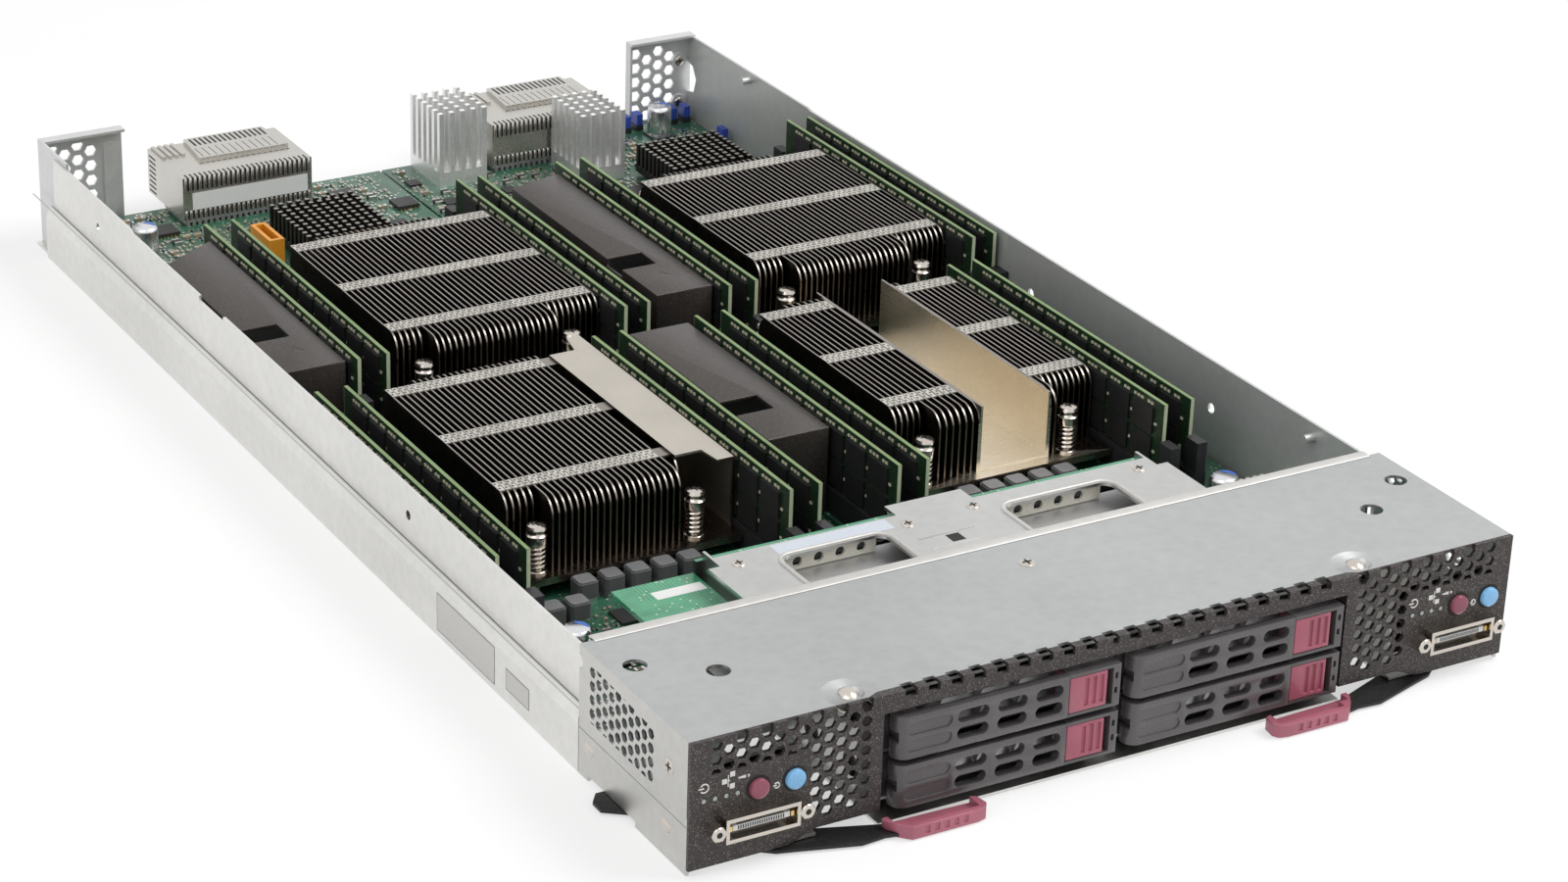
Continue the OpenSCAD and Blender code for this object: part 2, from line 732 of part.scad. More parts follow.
module carrier_latch(n) {
  w = 14.1 - latch_travel - slide_gap + 0.6;
  color([0.55, 0.2, 0.28]) carrier_place(n) difference() {
    block([latch_x, 0, 1 + 0.2], [latch_x + w, crossbar_y - slide_gap, carrier_h - 1 - 0.2]);
    for (i = [0 : 2])
      block([latch_x + 5.4 + i * 2.6, -1, 2.4], [latch_x + 6.6 + i * 2.6, 0.7, carrier_h - 2.4]);
  }
}

// Plan of the left lever plate: cam hook, pivot eye and a long arm to the grip.
module lever_plan() {
  tip = grip_reach - 2.6;
  polygon([
    [-5.5, 41.5], [-5.5, 46.5], [-2.5, 50.5], [3, 50.5], [9, 35], [pivot_x + 8, pivot_y + 4], [36, 8],
    [62, -1.4], [89, -4.4], [90.5, -tip], [66, -tip], [60, -7.4], [52, -8], [34, -2.5], [28, -0.8],
    [pivot_x - 7, pivot_y - 6], [2, 36]
  ]);
  translate([pivot_x, pivot_y]) circle(8.5);
}

module lever_plate() {
  difference() {
    translate([0, 0, lever_z]) linear_extrude(lever_t) lever_plan();
    translate([pivot_x, pivot_y, 0]) cylinder(r = pivot_r + fit, h = 10);
  }
}

module grip_plan() {
  polygon([
    [61.5, -2.6], [61.6, -4.6], [63.7, -8], [66.8, -grip_reach], [88.8, -grip_reach],
    [91.8, -grip_reach + 0.7], [93.1, -grip_reach + 2.6], [92.4, -4.2], [90, -3.4]
  ]);
}

module lever_grip() {
  floor_h = grip_h * 0.5;
  difference() {
    union() {
      translate([0, 0, 0.2]) linear_extrude(floor_h) grip_plan();
      translate([0, 0, 0.2]) linear_extrude(grip_h) difference() {
        grip_plan();
        translate([67, -grip_reach + 2.2]) square([23.4, 9]);
        translate([63.5, -grip_reach + 5]) square([5, 7]);
      }
    }
    lever_plate();
    for (i = [0 : 4])
      block([71 + i * 3.2, -grip_reach - 1, 1.2], [72.6 + i * 3.2, -grip_reach + 0.5, grip_h - 0.6]);
  }
}

module lever_pivots() {
  color("silver") place() both_sides() translate([pivot_x, pivot_y, 0]) {
    translate([0, 0, 0.1]) cylinder(r = pivot_r, h = bezel_foot + sheet_t - 0.1);
    translate([0, 0, bezel_foot + sheet_t]) cylinder(r = pivot_r + 2, h = 1);
    translate([0, 0, 0.1]) cylinder(r = pivot_r + 1.2, h = lever_z - 0.1 - 0.15);
  }
}

module push_button(x) {
  place() translate([x, 0, button_z]) rotate([-90, 0, 0]) {
    translate([0, 0, -button_reach]) cylinder(r = button_r, h = button_reach + bezel_t + slide_gap + 1);
    translate([0, 0, bezel_t + slide_gap]) cylinder(r = button_r + 0.8, h = 1);
  }
}

module front_port() {
  shell = [10.3, port_z - 3.3];
  // Control board with two tactile switches behind the bezel.
  block([control_board_x[0], control_board_y, 8], [control_board_x[1], control_board_y + 1.6, 30]);
  for (x = button_x)
    block([x - 3, bezel_t + 2 * slide_gap + button_travel + 1, button_z - 3],
          [x + 3, control_board_y, button_z + 3]);
  // Shielded connector shell round a contact tongue, and its two jackscrews.
  difference() {
    front_sheet(-4, control_board_y + 4) translate(shell) square([23, 6.6]);
    front_sheet(-5, 7) translate([shell[0] + 0.6, shell[1] + 0.6]) square([21.8, 5.4]);
  }
  block([shell[0] + 2.4, -2.6, port_z - 0.8], [shell[0] + 20.6, 2.2, port_z + 0.8]);
  for (x = [-1, 1]) translate([21.8 + x * jack_span / 2, 0, port_z]) rotate([90, 0, 0]) {
    cylinder(r = 2.5, h = 4, $fn = 6);
    translate([0, 0, -control_board_y]) cylinder(r = 1.5, h = control_board_y);
  }
}

module front_ports() {
  color("silver") place() for (shift = [0, control_shift]) translate([shift, 0, 0]) front_port();
}

module indicator_lights() {
  color("lightgreen") place() for (shift = [0, control_shift], x = led_row(), z = [button_z, button_z - 3.6])
    translate([x + shift, control_board_y, z]) rotate([90, 0, 0])
      cylinder(r = 0.9, h = control_board_y + 0.2);
}

// Board outline with the corner left free for the drive cage.
module board_plan() {
  polygon([
    [board_in, board_front], [board_notch[0], board_front], [board_notch[0], board_notch[1]],
    [node_pitch + 0.7, board_notch[1]], [node_pitch + 0.7, board_l], [board_in, board_l]
  ]);
}

module mainboard() {
  translate([0, 0, board_under]) linear_extrude(board_t) board_plan();
}

// Calls its children at the foot of each module of one node.
module at_modules() {
  for (bank = front_banks, i = [0, 1])
    translate([bank + i * module_pitch, front_bank_y, 0]) children();
  for (b = [0, 1], i = [0, 1])
    translate([rear_banks[b] + i * (b == 0 ? module_pitch : close_pitch), rear_bank_y, 0]) children();
}

// Socket with a slot for the module's edge and a latch tower at each end.
module memory_socket() {
  end = 7;
  difference() {
    block([-socket_w / 2, -end, board_top], [socket_w / 2, module_l + end, board_top + socket_h]);
    block([-module_t / 2, 0, module_seat], [module_t / 2, module_l, 60]);
  }
  for (y = [-end, module_l + 0.2])
    block([-socket_w / 2 + 0.4, y, board_top + socket_h],
          [socket_w / 2 - 0.4, y + end - 0.2, board_top + 20]);
}

module memory_module() {
  chips = 9;
  step = (module_l - 10) / chips;
  difference() {
    block([-module_t / 2, 0, module_seat], [module_t / 2, module_l, module_seat + module_h]);
    for (y = [0, module_l]) translate([0, y, module_seat + module_h * 0.42]) rotate([0, 90, 0])
      cylinder(r = 1.6, h = 4, center = true);
  }
  for (i = [0 : chips - 1], side = [0, 1], z = [7.5, 17.5]) mirror([side, 0, 0])
    block([module_t / 2, 6 + i * step, module_seat + z],
          [module_t / 2 + chip_t, 17.5 + i * step, module_seat + z + 9.2]);
}

module processor_socket(x, y) {
  difference() {
    block([x - 26, y - 35, board_top], [x + 26, y + 35, sink_foot - 1.4]);
    block([x - 22.6, y - 26.3, board_top + 1.6], [x + 22.6, y + 26.3, sink_foot]);
  }
}

module processor(x, y) {
  block([x - 22.6, y - 26.3, board_top + 1.6], [x + 22.6, y + 26.3, board_top + 3]);
  block([x - 19, y - 21, board_top + 3], [x + 19, y + 21, sink_foot]);
}

function processor_spots() = [
  for (corner = [rear_sink, front_sink], i = [0, 1])
    corner + sink_screw + [screw_span_x / 2 + i * node_pitch, screw_span_y / 2]
];

// A block of upright fins: a comb profile drawn out along the air flow, with rounded upper corners.
module fin_block(x0, x1, y0, y1) {
  count = max(1, floor((x1 - x0 - fin_t) / fin_pitch));
  step = (x1 - x0 - fin_t) / count;
  rise = sink_top - sink_foot;
  intersection() {
    front_sheet(y0, y1 - y0) {
      translate([x0, sink_foot]) square([x1 - x0, sink_base_t]);
      for (i = [0 : count]) translate([x0 + i * step, sink_foot]) square([fin_t, rise]);
    }
    side_sheet(x0, x1 - x0) {
      translate([y0, sink_foot]) square([y1 - y0, rise - fin_corner]);
      translate([y0 + fin_corner, sink_foot]) square([y1 - y0 - 2 * fin_corner, rise]);
      for (y = [y0 + fin_corner, y1 - fin_corner]) translate([y, sink_top - fin_corner]) circle(fin_corner);
    }
  }
}

// Rows of interlocked tabs that tie the fins at their tops.
module tab_rows(x0, x1, y0) {
  for (y = [16.7, 55.5, 95.5])
    block([x0, y0 + y - tab_w / 2, sink_top - 0.8], [x1, y0 + y + tab_w / 2, sink_top]);
}

// Base plate with the four screw holes; the fins at the corners leave room for the screws.
module sink_base(corner) {
  first = corner + sink_screw;
  difference() {
    block([corner[0], first[1] - 6, sink_foot],
          [corner[0] + sink_w, first[1] + screw_span_y + 6, sink_foot + sink_base_t]);
    for (i = [0, 1], j = [0, 1])
      translate([first[0] + i * screw_span_x, first[1] + j * screw_span_y, sink_foot - 1])
        cylinder(r = 1.9, h = 10);
  }
}

// Fins from x0 to x1, set back at both ends where they pass a screw.
module sink_fins(corner, x0, x1) {
  y = corner[1];
  left = corner[0] + sink_screw[0] + spring_r + 2.2;
  right = corner[0] + sink_screw[0] + screw_span_x - spring_r - 2.2;
  set_back = [sink_screw[1] + spring_r + 4.6, 7.5];
  if (x0 < left) fin_block(x0, min(left, x1), y + set_back[0], y + sink_l - set_back[1]);
  if (max(x0, left) < min(x1, right)) fin_block(max(x0, left - fin_t), min(x1, right), y, y + sink_l);
  if (x1 > right) fin_block(max(x0, right - fin_t), x1, y + set_back[0], y + sink_l - set_back[1]);
}

module rear_heat_sink() {
  x1 = rear_sink[0] + sink_w;
  sink_base(rear_sink);
  sink_fins(rear_sink, rear_sink[0], x1);
  tab_rows(rear_sink[0], x1, rear_sink[1]);
}

// Front left sink: a folded cover strip with cut corners closes its right edge.
module front_sink_left() {
  x1 = front_sink[0] + sink_w;
  y0 = front_sink[1];
  y1 = y0 + sink_l;
  cover = x1 - cover_w;
  sink_base(front_sink);
  sink_fins(front_sink, front_sink[0], cover);
  tab_rows(front_sink[0], cover, y0);
  block([x1 - 0.8, y0 + 2, sink_foot + sink_base_t], [x1, y1, sink_top]);
  translate([0, 0, sink_top]) linear_extrude(0.8) polygon([
    [cover - fin_t, y0 + 11], [cover + 9, y0 + 11], [cover + 10, y0 + 2], [x1, y0 + 2],
    [x1, y1 + 2], [cover + 11, y1 + 2], [cover + 9, y1 - 8], [cover - fin_t, y1 - 8]
  ]);
}

// Front right sink: two fin blocks with an open steel channel between them.
module front_sink_right() {
  x1 = front_sink[0] + sink_w;
  y0 = front_sink[1];
  gap = [front_sink[0] + channel_x, front_sink[0] + channel_x + channel_w];
  base = sink_foot + sink_base_t;
  sink_base(front_sink);
  sink_fins(front_sink, front_sink[0], gap[0] - 0.8);
  sink_fins(front_sink, gap[1] + 0.8, x1);
  tab_rows(front_sink[0], gap[0] - 0.8, y0);
  tab_rows(gap[1] + 0.8, x1, y0);
  difference() {
    block([gap[0] - 0.8, y0, sink_foot], [gap[1] + 0.8, y0 + sink_l, sink_top]);
    block([gap[0], y0 - 1, base + 0.6], [gap[1], y0 + sink_l + 1, sink_top + 1]);
  }
}

module spring_screw() {
  seat = sink_foot + sink_base_t;
  difference() {
    union() {
      translate([0, 0, board_top]) cylinder(r = 1.7, h = seat + 15 - board_top);
      translate([0, 0, seat]) cylinder(r = spring_r, h = 1);
      translate([0, 0, seat + 1]) cylinder(r = spring_r - 0.6, h = 9);
      translate([0, 0, seat + 10]) cylinder(r = spring_r, h = 5);
      translate([0, 0, seat + 15]) cylinder(r = spring_r - 0.9, h = 1.6);
    }
    for (a = [0, 90]) rotate(a) block([-1.9, -0.4, seat + 15.2], [1.9, 0.4, seat + 20]);
  }
}

module spring_screws() {
  color("silver") place() both_nodes()
    for (corner = [rear_sink, front_sink], i = [0, 1], j = [0, 1])
      translate(corner + sink_screw + [i * screw_span_x, j * screw_span_y]) spring_screw();
}

// Hollow cover standing on the board, open below and at both ends, with a square notch in its top.
module air_baffle(x0, x1, y0, y1, notch_y, slant) {
  top = sink_top;
  difference() {
    translate([0, 0, board_top]) linear_extrude(top - board_top)
      polygon([[x0, y0], [x1, y0], [x1, y1], [x0, y1 - slant]]);
    translate([0, 0, board_top - 1]) linear_extrude(top - baffle_t - board_top + 1)
      polygon([[x0 + baffle_t, y0 + baffle_t], [x1 - baffle_t, y0 + baffle_t], [x1 - baffle_t, y1 + 1],
        [x0 + baffle_t, y1 + 1]]);
    block([x0 - 1, notch_y, top - 3], [x0 + (x1 - x0) * 0.62, notch_y + 11.5, top + 1]);
  }
}

// Each rear baffle fills the space between a wall, or the other node, and the rear modules.
module rear_baffle(y0, y1, notch_y, slant) {
  air_baffle(wall_in + 1, wall_in + 1 + baffle_w, y0, y1, notch_y, slant);
}

// The front baffle stands between the front modules of the two nodes.
module front_baffle() {
  side = socket_w / 2 + 0.9;
  air_baffle(front_banks[1] + module_pitch + side, node_pitch + front_banks[0] - side + 0.2,
             front_bank_y + 38.5, front_bank_y + module_l, front_bank_y + 59.5, 0);
}

// Low black sink made of square pins.
module chip_sink(x0, y0, w, l) {
  n = 10;
  pin = 1.7;
  block([x0, y0, board_top + 1.4], [x0 + w, y0 + l, board_top + 4]);
  block([x0 + 6, y0 + 6, board_top], [x0 + w - 6, y0 + l - 6, board_top + 1.4]);
  translate([0, 0, board_top + 4]) linear_extrude(9)
    for (i = [0 : n - 1], j = [0 : n - 1])
      translate([x0 + i * (w - pin) / (n - 1), y0 + j * (l - pin) / (n - 1)]) square(pin);
}

// Tall bright sink: a thick foot under cross-cut blades.
module tall_sink(x0, y0, w, l, top) {
  nx = 5;
  ny = 6;
  blade = [1.9, 2.2];
  block([x0, y0, board_top], [x0 + w, y0 + l, board_top + 6]);
  translate([0, 0, board_top + 6]) linear_extrude(top - board_top - 6)
    for (i = [0 : nx - 1], j = [0 : ny - 1])
      translate([x0 + i * (w - blade[0]) / (nx - 1), y0 + j * (l - blade[1]) / (ny - 1)]) square(blade);
}

// Rear node connector: slotted metal cage on a comb of solder feet round a contact block.
module rear_connector(x0) {
  z1 = board_top + node_port_h;
  slots = 18;
  step = (node_port_w - 6) / slots;
  difference() {
    union() {
      block([x0, node_port_y, board_top + 2], [x0 + node_port_w, tray_rear, z1]);
      block([x0 + 15, node_port_y + 20, z1 - 1], [x0 + 47, tray_rear, z1 + 1.4]);
    }
    block([x0 + 1, node_port_y + 8, board_top + 4], [x0 + node_port_w - 1, tray_rear + 1, z1 - 1]);
    for (i = [0 : slots - 1]) {
      block([x0 + 3.6 + i * step, node_port_y + 4, z1 - 0.5], [x0 + 5 + i * step, node_port_y + 10, z1 + 1]);
      block([x0 + 3.6 + i * step, tray_rear - 9, z1 - 2], [x0 + 5 + i * step, tray_rear - 2, z1 + 2]);
      for (z = [z1 - 6, board_top + 3])
        block([x0 + 3.6 + i * step, node_port_y - 1, z], [x0 + 5 + i * step, node_port_y + 1.4, z + 4.6]);
    }
  }
  block([x0 + 3, node_port_y + 8, board_top + 6], [x0 + node_port_w - 3, tray_rear - 3, z1 - 4]);
  for (i = [0 : 11])
    block([x0 + 2 + i * (node_port_w - 6) / 11, node_port_y + 1, board_top],
          [x0 + 4 + i * (node_port_w - 6) / 11, board_l, board_top + 2]);
}

module can(x, y) {
  translate([x, y, board_top]) {
    cylinder(r = 5, h = 11);
    translate([0, 0, 11]) cylinder(r1 = 5, r2 = 4, h = 2);
  }
}

module choke(x, y) {
  block([x - 3.6, y - 3.6, board_top], [x + 3.6, y + 3.6, board_top + 7]);
}

module power_chokes() {
  color([0.25, 0.25, 0.27]) place() both_nodes() {
    for (i = [0 : 4]) choke(front_sink_x + 18.3 + i * 9.4, front_bank_y + 20.4);
    for (i = [0 : 1]) choke(front_sink_x + 1 + i * 8.6, front_bank_y + 8.9);
    for (i = [0 : 4]) choke(rear_sink_x + 25.7 + i * 9, rear_end + 6.3);
  }
}

module board_headers() {
  color("royalblue") place() {
    // Orange slot connector, a white power header and a few pin headers.
    block([rear_sink_x + 10.4, rear_end + 15.3, board_top],
          [rear_sink_x + 16.5, rear_end + 33.3, board_top + 15]);
    block([blade_w - 17.5, front_bank_y - 22.5, board_top],
          [blade_w - 7.5, front_bank_y - 16.5, board_top + 9]);
    for (p = [[31.5, 10], [15.5, 10], [9.5, 10], [8.5, 40], [37.5, 11]])
      block([blade_w - p[0], tray_l - p[1], board_top],
            [blade_w - p[0] + 3, tray_l - p[1] + 5.2, board_top + 7]);
    for (p = [[24, 32], [38, 32], [node_pitch - 22.5, 66], [node_pitch - 10.5, 46]])
      block([p[0], tray_l - p[1], board_top], [p[0] + 9, tray_l - p[1] + 9, board_top + 1.6]);
  }
}

base_tray();
left_wall();
right_wall();
rear_bracket_left();
rear_bracket_right();
front_lid();
bezel();
side_plates();
cover_screws();
rivets();
drive_cage();
drive_backplane();
for (n = [1 : 4]) {
  carrier(n);
  drive(n);
  carrier_handle(n);
  carrier_latch(n);
}
color([0.15, 0.15, 0.15]) place() lever_plate();  // lever_arm_left
color([0.15, 0.15, 0.15]) place() right_side() lever_plate();  // lever_arm_right
color([0.6, 0.2, 0.3]) place() lever_grip();  // lever_grip_left
color([0.6, 0.2, 0.3]) place() right_side() lever_grip();  // lever_grip_right
lever_pivots();
color([0.5, 0.15, 0.2]) push_button(button_x[0]);  // power_button_left
color([0.5, 0.15, 0.2]) push_button(button_x[0] + control_shift);  // power_button_right
color("skyblue") push_button(button_x[1]);  // locator_button_left
color("skyblue") push_button(button_x[1] + control_shift);  // locator_button_right
front_ports();
indicator_lights();
color("seagreen") place() mainboard();  // mainboard_left
color("seagreen") place() right_side() mainboard();  // mainboard_right
color([0.1, 0.1, 0.12]) place() both_nodes() at_modules() memory_socket();  // memory_sockets
color("darkgreen") place() at_modules() memory_module();  // memory_modules_left
color("darkgreen") place() translate([node_pitch, 0, 0]) at_modules() memory_module();  // memory_modules_right
color("dimgray") place() for (p = processor_spots()) processor_socket(p[0], p[1]);  // processor_sockets
color("silver") place() for (p = processor_spots()) processor(p[0], p[1]);  // processors
color("dimgray") place() rear_heat_sink();  // heat_sink_rear_left
color("dimgray") place() translate([node_pitch, 0, 0]) rear_heat_sink();  // heat_sink_rear_right
color("dimgray") place() front_sink_left();  // heat_sink_front_left
color("dimgray") place() translate([node_pitch, 0, 0]) front_sink_right();  // heat_sink_front_right
spring_screws();
color([0.1, 0.1, 0.1]) place() rear_baffle(rear_bank_y + 4.7, rear_bank_y + 122.7, rear_bank_y + 32.2, 14);  // air_baffle_side
color([0.1, 0.1, 0.1]) place() translate([node_pitch, 0, 0])  // air_baffle_rear
    rear_baffle(rear_bank_y + 7.7, rear_bank_y + 126.7, rear_bank_y + 33.7, 6);
color([0.1, 0.1, 0.1]) place() front_baffle();  // air_baffle_front
color([0.12, 0.12, 0.12]) place() {  // chip_sinks
  chip_sink(rear_sink_x + 26.7, rear_end + 17.3, 34, 36);
  chip_sink(node_pitch + rear_sink_x + 40.2, rear_end + 18.3, 35, 31);
}
color("silver") place() {  // tall_sinks
  tall_sink(node_port_x[1] - 26.3, tray_l - 31.3, 20.6, 26.6, sink_top - 0.5);
  tall_sink(node_port_x[1] + 25.2, tray_l - 53, 19.2, 26.4, sink_top - 2.5);
}
color("lightgray") place() for (x = node_port_x) rear_connector(x);  // rear_connectors
color("silver") place() {  // capacitors
  can(27, tray_l - 47);
  can(blade_w - 25.5, tray_l - 18);
  can(blade_w - 24.7, front_bank_y - 18.5);
  can(23.7, front_bank_y - 17.6);
}
power_chokes();
board_headers();
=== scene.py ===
"""Looks of the blade server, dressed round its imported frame.

Lengths in this script are millimetres in the blade's own corner frame, as in the part's source: X from
the left side face, Y from the bezel's face to the rear, Z up. place() turns them into the row's metres.
"""

import json
import math

import bmesh
import bpy
import numpy as np
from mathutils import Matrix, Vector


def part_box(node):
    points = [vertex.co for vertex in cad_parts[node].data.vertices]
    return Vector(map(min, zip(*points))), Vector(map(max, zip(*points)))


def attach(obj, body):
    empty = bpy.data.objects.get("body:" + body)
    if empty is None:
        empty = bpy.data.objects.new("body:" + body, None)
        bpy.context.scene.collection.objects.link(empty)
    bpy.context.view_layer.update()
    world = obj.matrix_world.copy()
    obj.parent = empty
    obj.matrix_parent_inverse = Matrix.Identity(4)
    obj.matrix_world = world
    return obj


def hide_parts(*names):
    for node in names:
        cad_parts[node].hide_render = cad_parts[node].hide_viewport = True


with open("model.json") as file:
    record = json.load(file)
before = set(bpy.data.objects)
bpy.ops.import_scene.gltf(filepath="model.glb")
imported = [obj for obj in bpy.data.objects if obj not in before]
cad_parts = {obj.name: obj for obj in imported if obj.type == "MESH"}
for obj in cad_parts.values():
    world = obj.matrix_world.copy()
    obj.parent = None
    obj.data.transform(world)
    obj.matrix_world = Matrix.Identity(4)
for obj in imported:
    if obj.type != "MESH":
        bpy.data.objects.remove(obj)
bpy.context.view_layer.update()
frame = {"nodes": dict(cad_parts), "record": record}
NODES = frame["nodes"]

# Driving dimensions, read from the frame, and the seeded source of all chance.
CORNER = np.array([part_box("front_lid")[0].x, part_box("bezel")[0].y, 0.0])
LID_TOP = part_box("front_lid")[1].z * 1000
BLADE_W = (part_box("front_lid")[1].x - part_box("front_lid")[0].x) * 1000
BOARD_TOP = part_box("mainboard_left")[1].z * 1000
RANDOM = np.random.default_rng(7)


def place(points):
    """Corner-frame millimetres to the row's metres."""
    return np.asarray(points, float) / 1000 + CORNER


def corners(node):
    """A CAD node's lowest and highest corner, in corner-frame millimetres."""
    low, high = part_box(node)
    return (np.array(low) - CORNER) * 1000, (np.array(high) - CORNER) * 1000


# ---------------------------------------------------------------- finishes


class Wire:
    """One output of a shader node; arithmetic on it adds the Math nodes that the expression needs."""

    def __init__(self, nodes, socket):
        self.nodes = nodes
        self.socket = socket

    def math(self, operation, *others):
        """Applies one Math operation to this value and the others."""
        values = dict(enumerate((self, *others)))
        return self.nodes.node("ShaderNodeMath", {"operation": operation}, values)

    def __add__(self, other):
        return self.math("ADD", other)

    def __sub__(self, other):
        return self.math("SUBTRACT", other)

    def __rsub__(self, other):
        return (self * -1.0).math("ADD", other)

    def __mul__(self, other):
        return self.math("MULTIPLY", other)

    def __gt__(self, other):
        return self.math("GREATER_THAN", other)

    def __lt__(self, other):
        return self.math("LESS_THAN", other)

    def __abs__(self):
        return self.math("ABSOLUTE")

    __radd__ = __add__
    __rmul__ = __mul__


class Nodes:
    """The node tree of a finish or of the world, with one method that adds any node."""

    def __init__(self, tree):
        self.tree = tree

    def found(self, kind):
        """The node of a kind that the tree has from the start."""
        return next(n for n in self.tree.nodes if n.type == kind)

    def feed(self, socket, value):
        """Puts a number or colour on a socket, or links a wire to it."""
        if isinstance(value, Wire):
            self.tree.links.new(value.socket, socket)
        else:
            socket.default_value = value

    def node(self, kind, settings=None, values=None, output=0):
        """Adds a node: its settings first, then its sockets by name or number; gives one output."""
        made = self.tree.nodes.new(kind)
        for key, value in (settings or {}).items():
            setattr(made, key, value)
        for key, value in (values or {}).items():
            self.feed(made.inputs[key], value)
        return Wire(self, made.outputs[output])

    def part(self, vector, axis):
        """One coordinate of a vector, or one channel of a colour."""
        return self.node("ShaderNodeSeparateXYZ", None, {0: vector}, axis)

    def looked_at(self):
        """1 for what the eye or a reflection sees, 0 for the light that falls on the object."""
        seen = self.node("ShaderNodeLightPath", None, None, "Is Camera Ray")
        for ray in ("Is Glossy Ray", "Is Transmission Ray"):
            seen = seen.math("MAXIMUM", self.node("ShaderNodeLightPath", None, None, ray))
        return seen


class Finish(Nodes):
    """A procedural material on Object coordinates round one Principled shader."""

    def __init__(self, name, colour, metallic=0.0, roughness=0.5, coat=0.0, specular=0.5):
        self.material = bpy.data.materials.new(name)
        self.material.use_nodes = True
        self.material.diffuse_color = (*colour, 1.0)
        super().__init__(self.material.node_tree)
        self.shader = self.found("BSDF_PRINCIPLED")
        self.set("Base Color", (*colour, 1.0))
        self.set("Metallic", metallic)
        self.set("Roughness", roughness)
        self.set("Coat Weight", coat)
        self.set("Specular IOR Level", specular)
        self.coordinates = self.tree.nodes.new("ShaderNodeTexCoord")

    def set(self, socket, value):
        """Feeds one of the shader's own sockets."""
        self.feed(self.shader.inputs[socket], value)

    def position(self):
        """The X and Y of the Object coordinates, each as a wire, in metres."""
        point = Wire(self, self.coordinates.outputs["Object"])
        return self.part(point, 0), self.part(point, 1)

    def facing(self, axis):
        """The surface's own normal along one axis, from -1 to 1."""
        return self.part(Wire(self, self.coordinates.outputs["Normal"]), axis)

    def stretched(self, scale):
        """Object coordinates drawn out by a factor for each axis."""
        point = Wire(self, self.coordinates.outputs["Object"])
        return self.node("ShaderNodeMapping", None, {"Vector": point, "Scale": scale})

    def noise(self, scale, detail=2.0, rough=0.5, stretch=(1, 1, 1)):
        """Smooth noise from 0 to 1; scale is in features for each metre."""
        values = {"Vector": self.stretched(stretch), "Scale": scale, "Detail": detail, "Roughness": rough}
        return self.node("ShaderNodeTexNoise", None, values)

    def cells(self, scale, stretch=(1, 1, 1), output=0, settings=None):
        """Voronoi cells: output 0 is the distance, 1 a random colour for each cell."""
        values = {"Vector": self.stretched(stretch), "Scale": scale}
        return self.node("ShaderNodeTexVoronoi", settings, values, output)

    def band(self, value, low, high, steps=(0.0, 1.0)):
        """Maps low..high to the two steps, held at both ends."""
        values = {"Value": value, "From Min": low, "From Max": high, "To Min": steps[0], "To Max": steps[1]}
        return self.node("ShaderNodeMapRange", {"clamp": True}, values)

    def blend(self, factor, first, second):
        """Mixes two colours."""
        made = self.tree.nodes.new("ShaderNodeMix")
        made.data_type = "RGBA"
        for identifier, value in (("Factor_Float", factor), ("A_Color", first), ("B_Color", second)):
            socket = next(s for s in made.inputs if s.identifier == identifier)
            self.feed(socket, (*value, 1.0) if isinstance(value, tuple) else value)
        return Wire(self, next(s for s in made.outputs if s.identifier == "Result_Color"))

    def relief(self, height, depth, strength=1.0):
        """Feeds a height from 0 to 1, that deep in metres, to the normal."""
        values = {"Height": height, "Distance": depth, "Strength": strength}
        self.set("Normal", self.node("ShaderNodeBump", None, values))

    def sheen(self, grain, smoothest, roughest):
        """Roughness between two values, led by the middle of a noise."""
        self.set("Roughness", self.band(grain, 0.3, 0.7, (smoothest, roughest)))


def shade(colour, factor, lift=0.0):
    """A colour times a factor plus a lift, held under 1."""
    return tuple(min(1.0, c * factor + lift) for c in colour)


# A pressed dimple's inner and outer radius and its depth, in metres.
DIMPLE = (0.0035, 0.0085)
DIMPLE_DEPTH = 0.0016


def galvanised_steel(name, colour, roughness, dimples=(), metallic=1.0):
    """Zinc-coated sheet: faint spangle, rolling grain, bright specks, and dimples pressed in at spots."""
    f = Finish(name, colour, metallic=metallic, roughness=roughness)
    spangle = f.cells(260)
    grain = f.noise(1500, 4, 0.7, (0.12, 1, 1))
    specks = f.noise(5200, 1, 0.5)
    cloud = f.noise(9, 4, 0.55)
    tone = f.band(grain * 0.35 + cloud * 0.6 + spangle * 0.15, 0.35, 0.75)
    sheet = f.blend(tone, shade(colour, 0.88), shade(colour, 1.1))
    f.set("Base Color", f.blend(f.band(specks, 0.72, 0.8), sheet, (0.85, 0.85, 0.83)))
    f.set("Roughness", f.band(grain + cloud * 0.5, 0.4, 1.1, (roughness - 0.04, roughness + 0.07)))
    height = (grain * 0.7 + specks * 0.3) * 0.004
    for spot_x, spot_y in dimples:
        x, y = f.position()
        across = x - spot_x
        along = y - spot_y
        away = (across * across + along * along).math("SQRT")
        height = height + f.band(away, *DIMPLE)
    f.relief(height, DIMPLE_DEPTH)
    return f.material


def powder_coat(name, colour, fleck, roughness=0.42):
    """Textured paint with metallic flecks: pebbled relief and a scatter of brighter grains."""
    f = Finish(name, colour, metallic=0.35, roughness=roughness)
    pebbles = f.noise(3200, 2, 0.6)
    flecks = f.cells(4600, output=1)
    f.set("Base Color", f.blend(f.band(f.part(flecks, 0), 0.9, 0.99), colour, fleck))
    f.sheen(pebbles, roughness - 0.08, roughness + 0.1)
    f.relief(pebbles, 0.00003, 0.4)
    return f.material


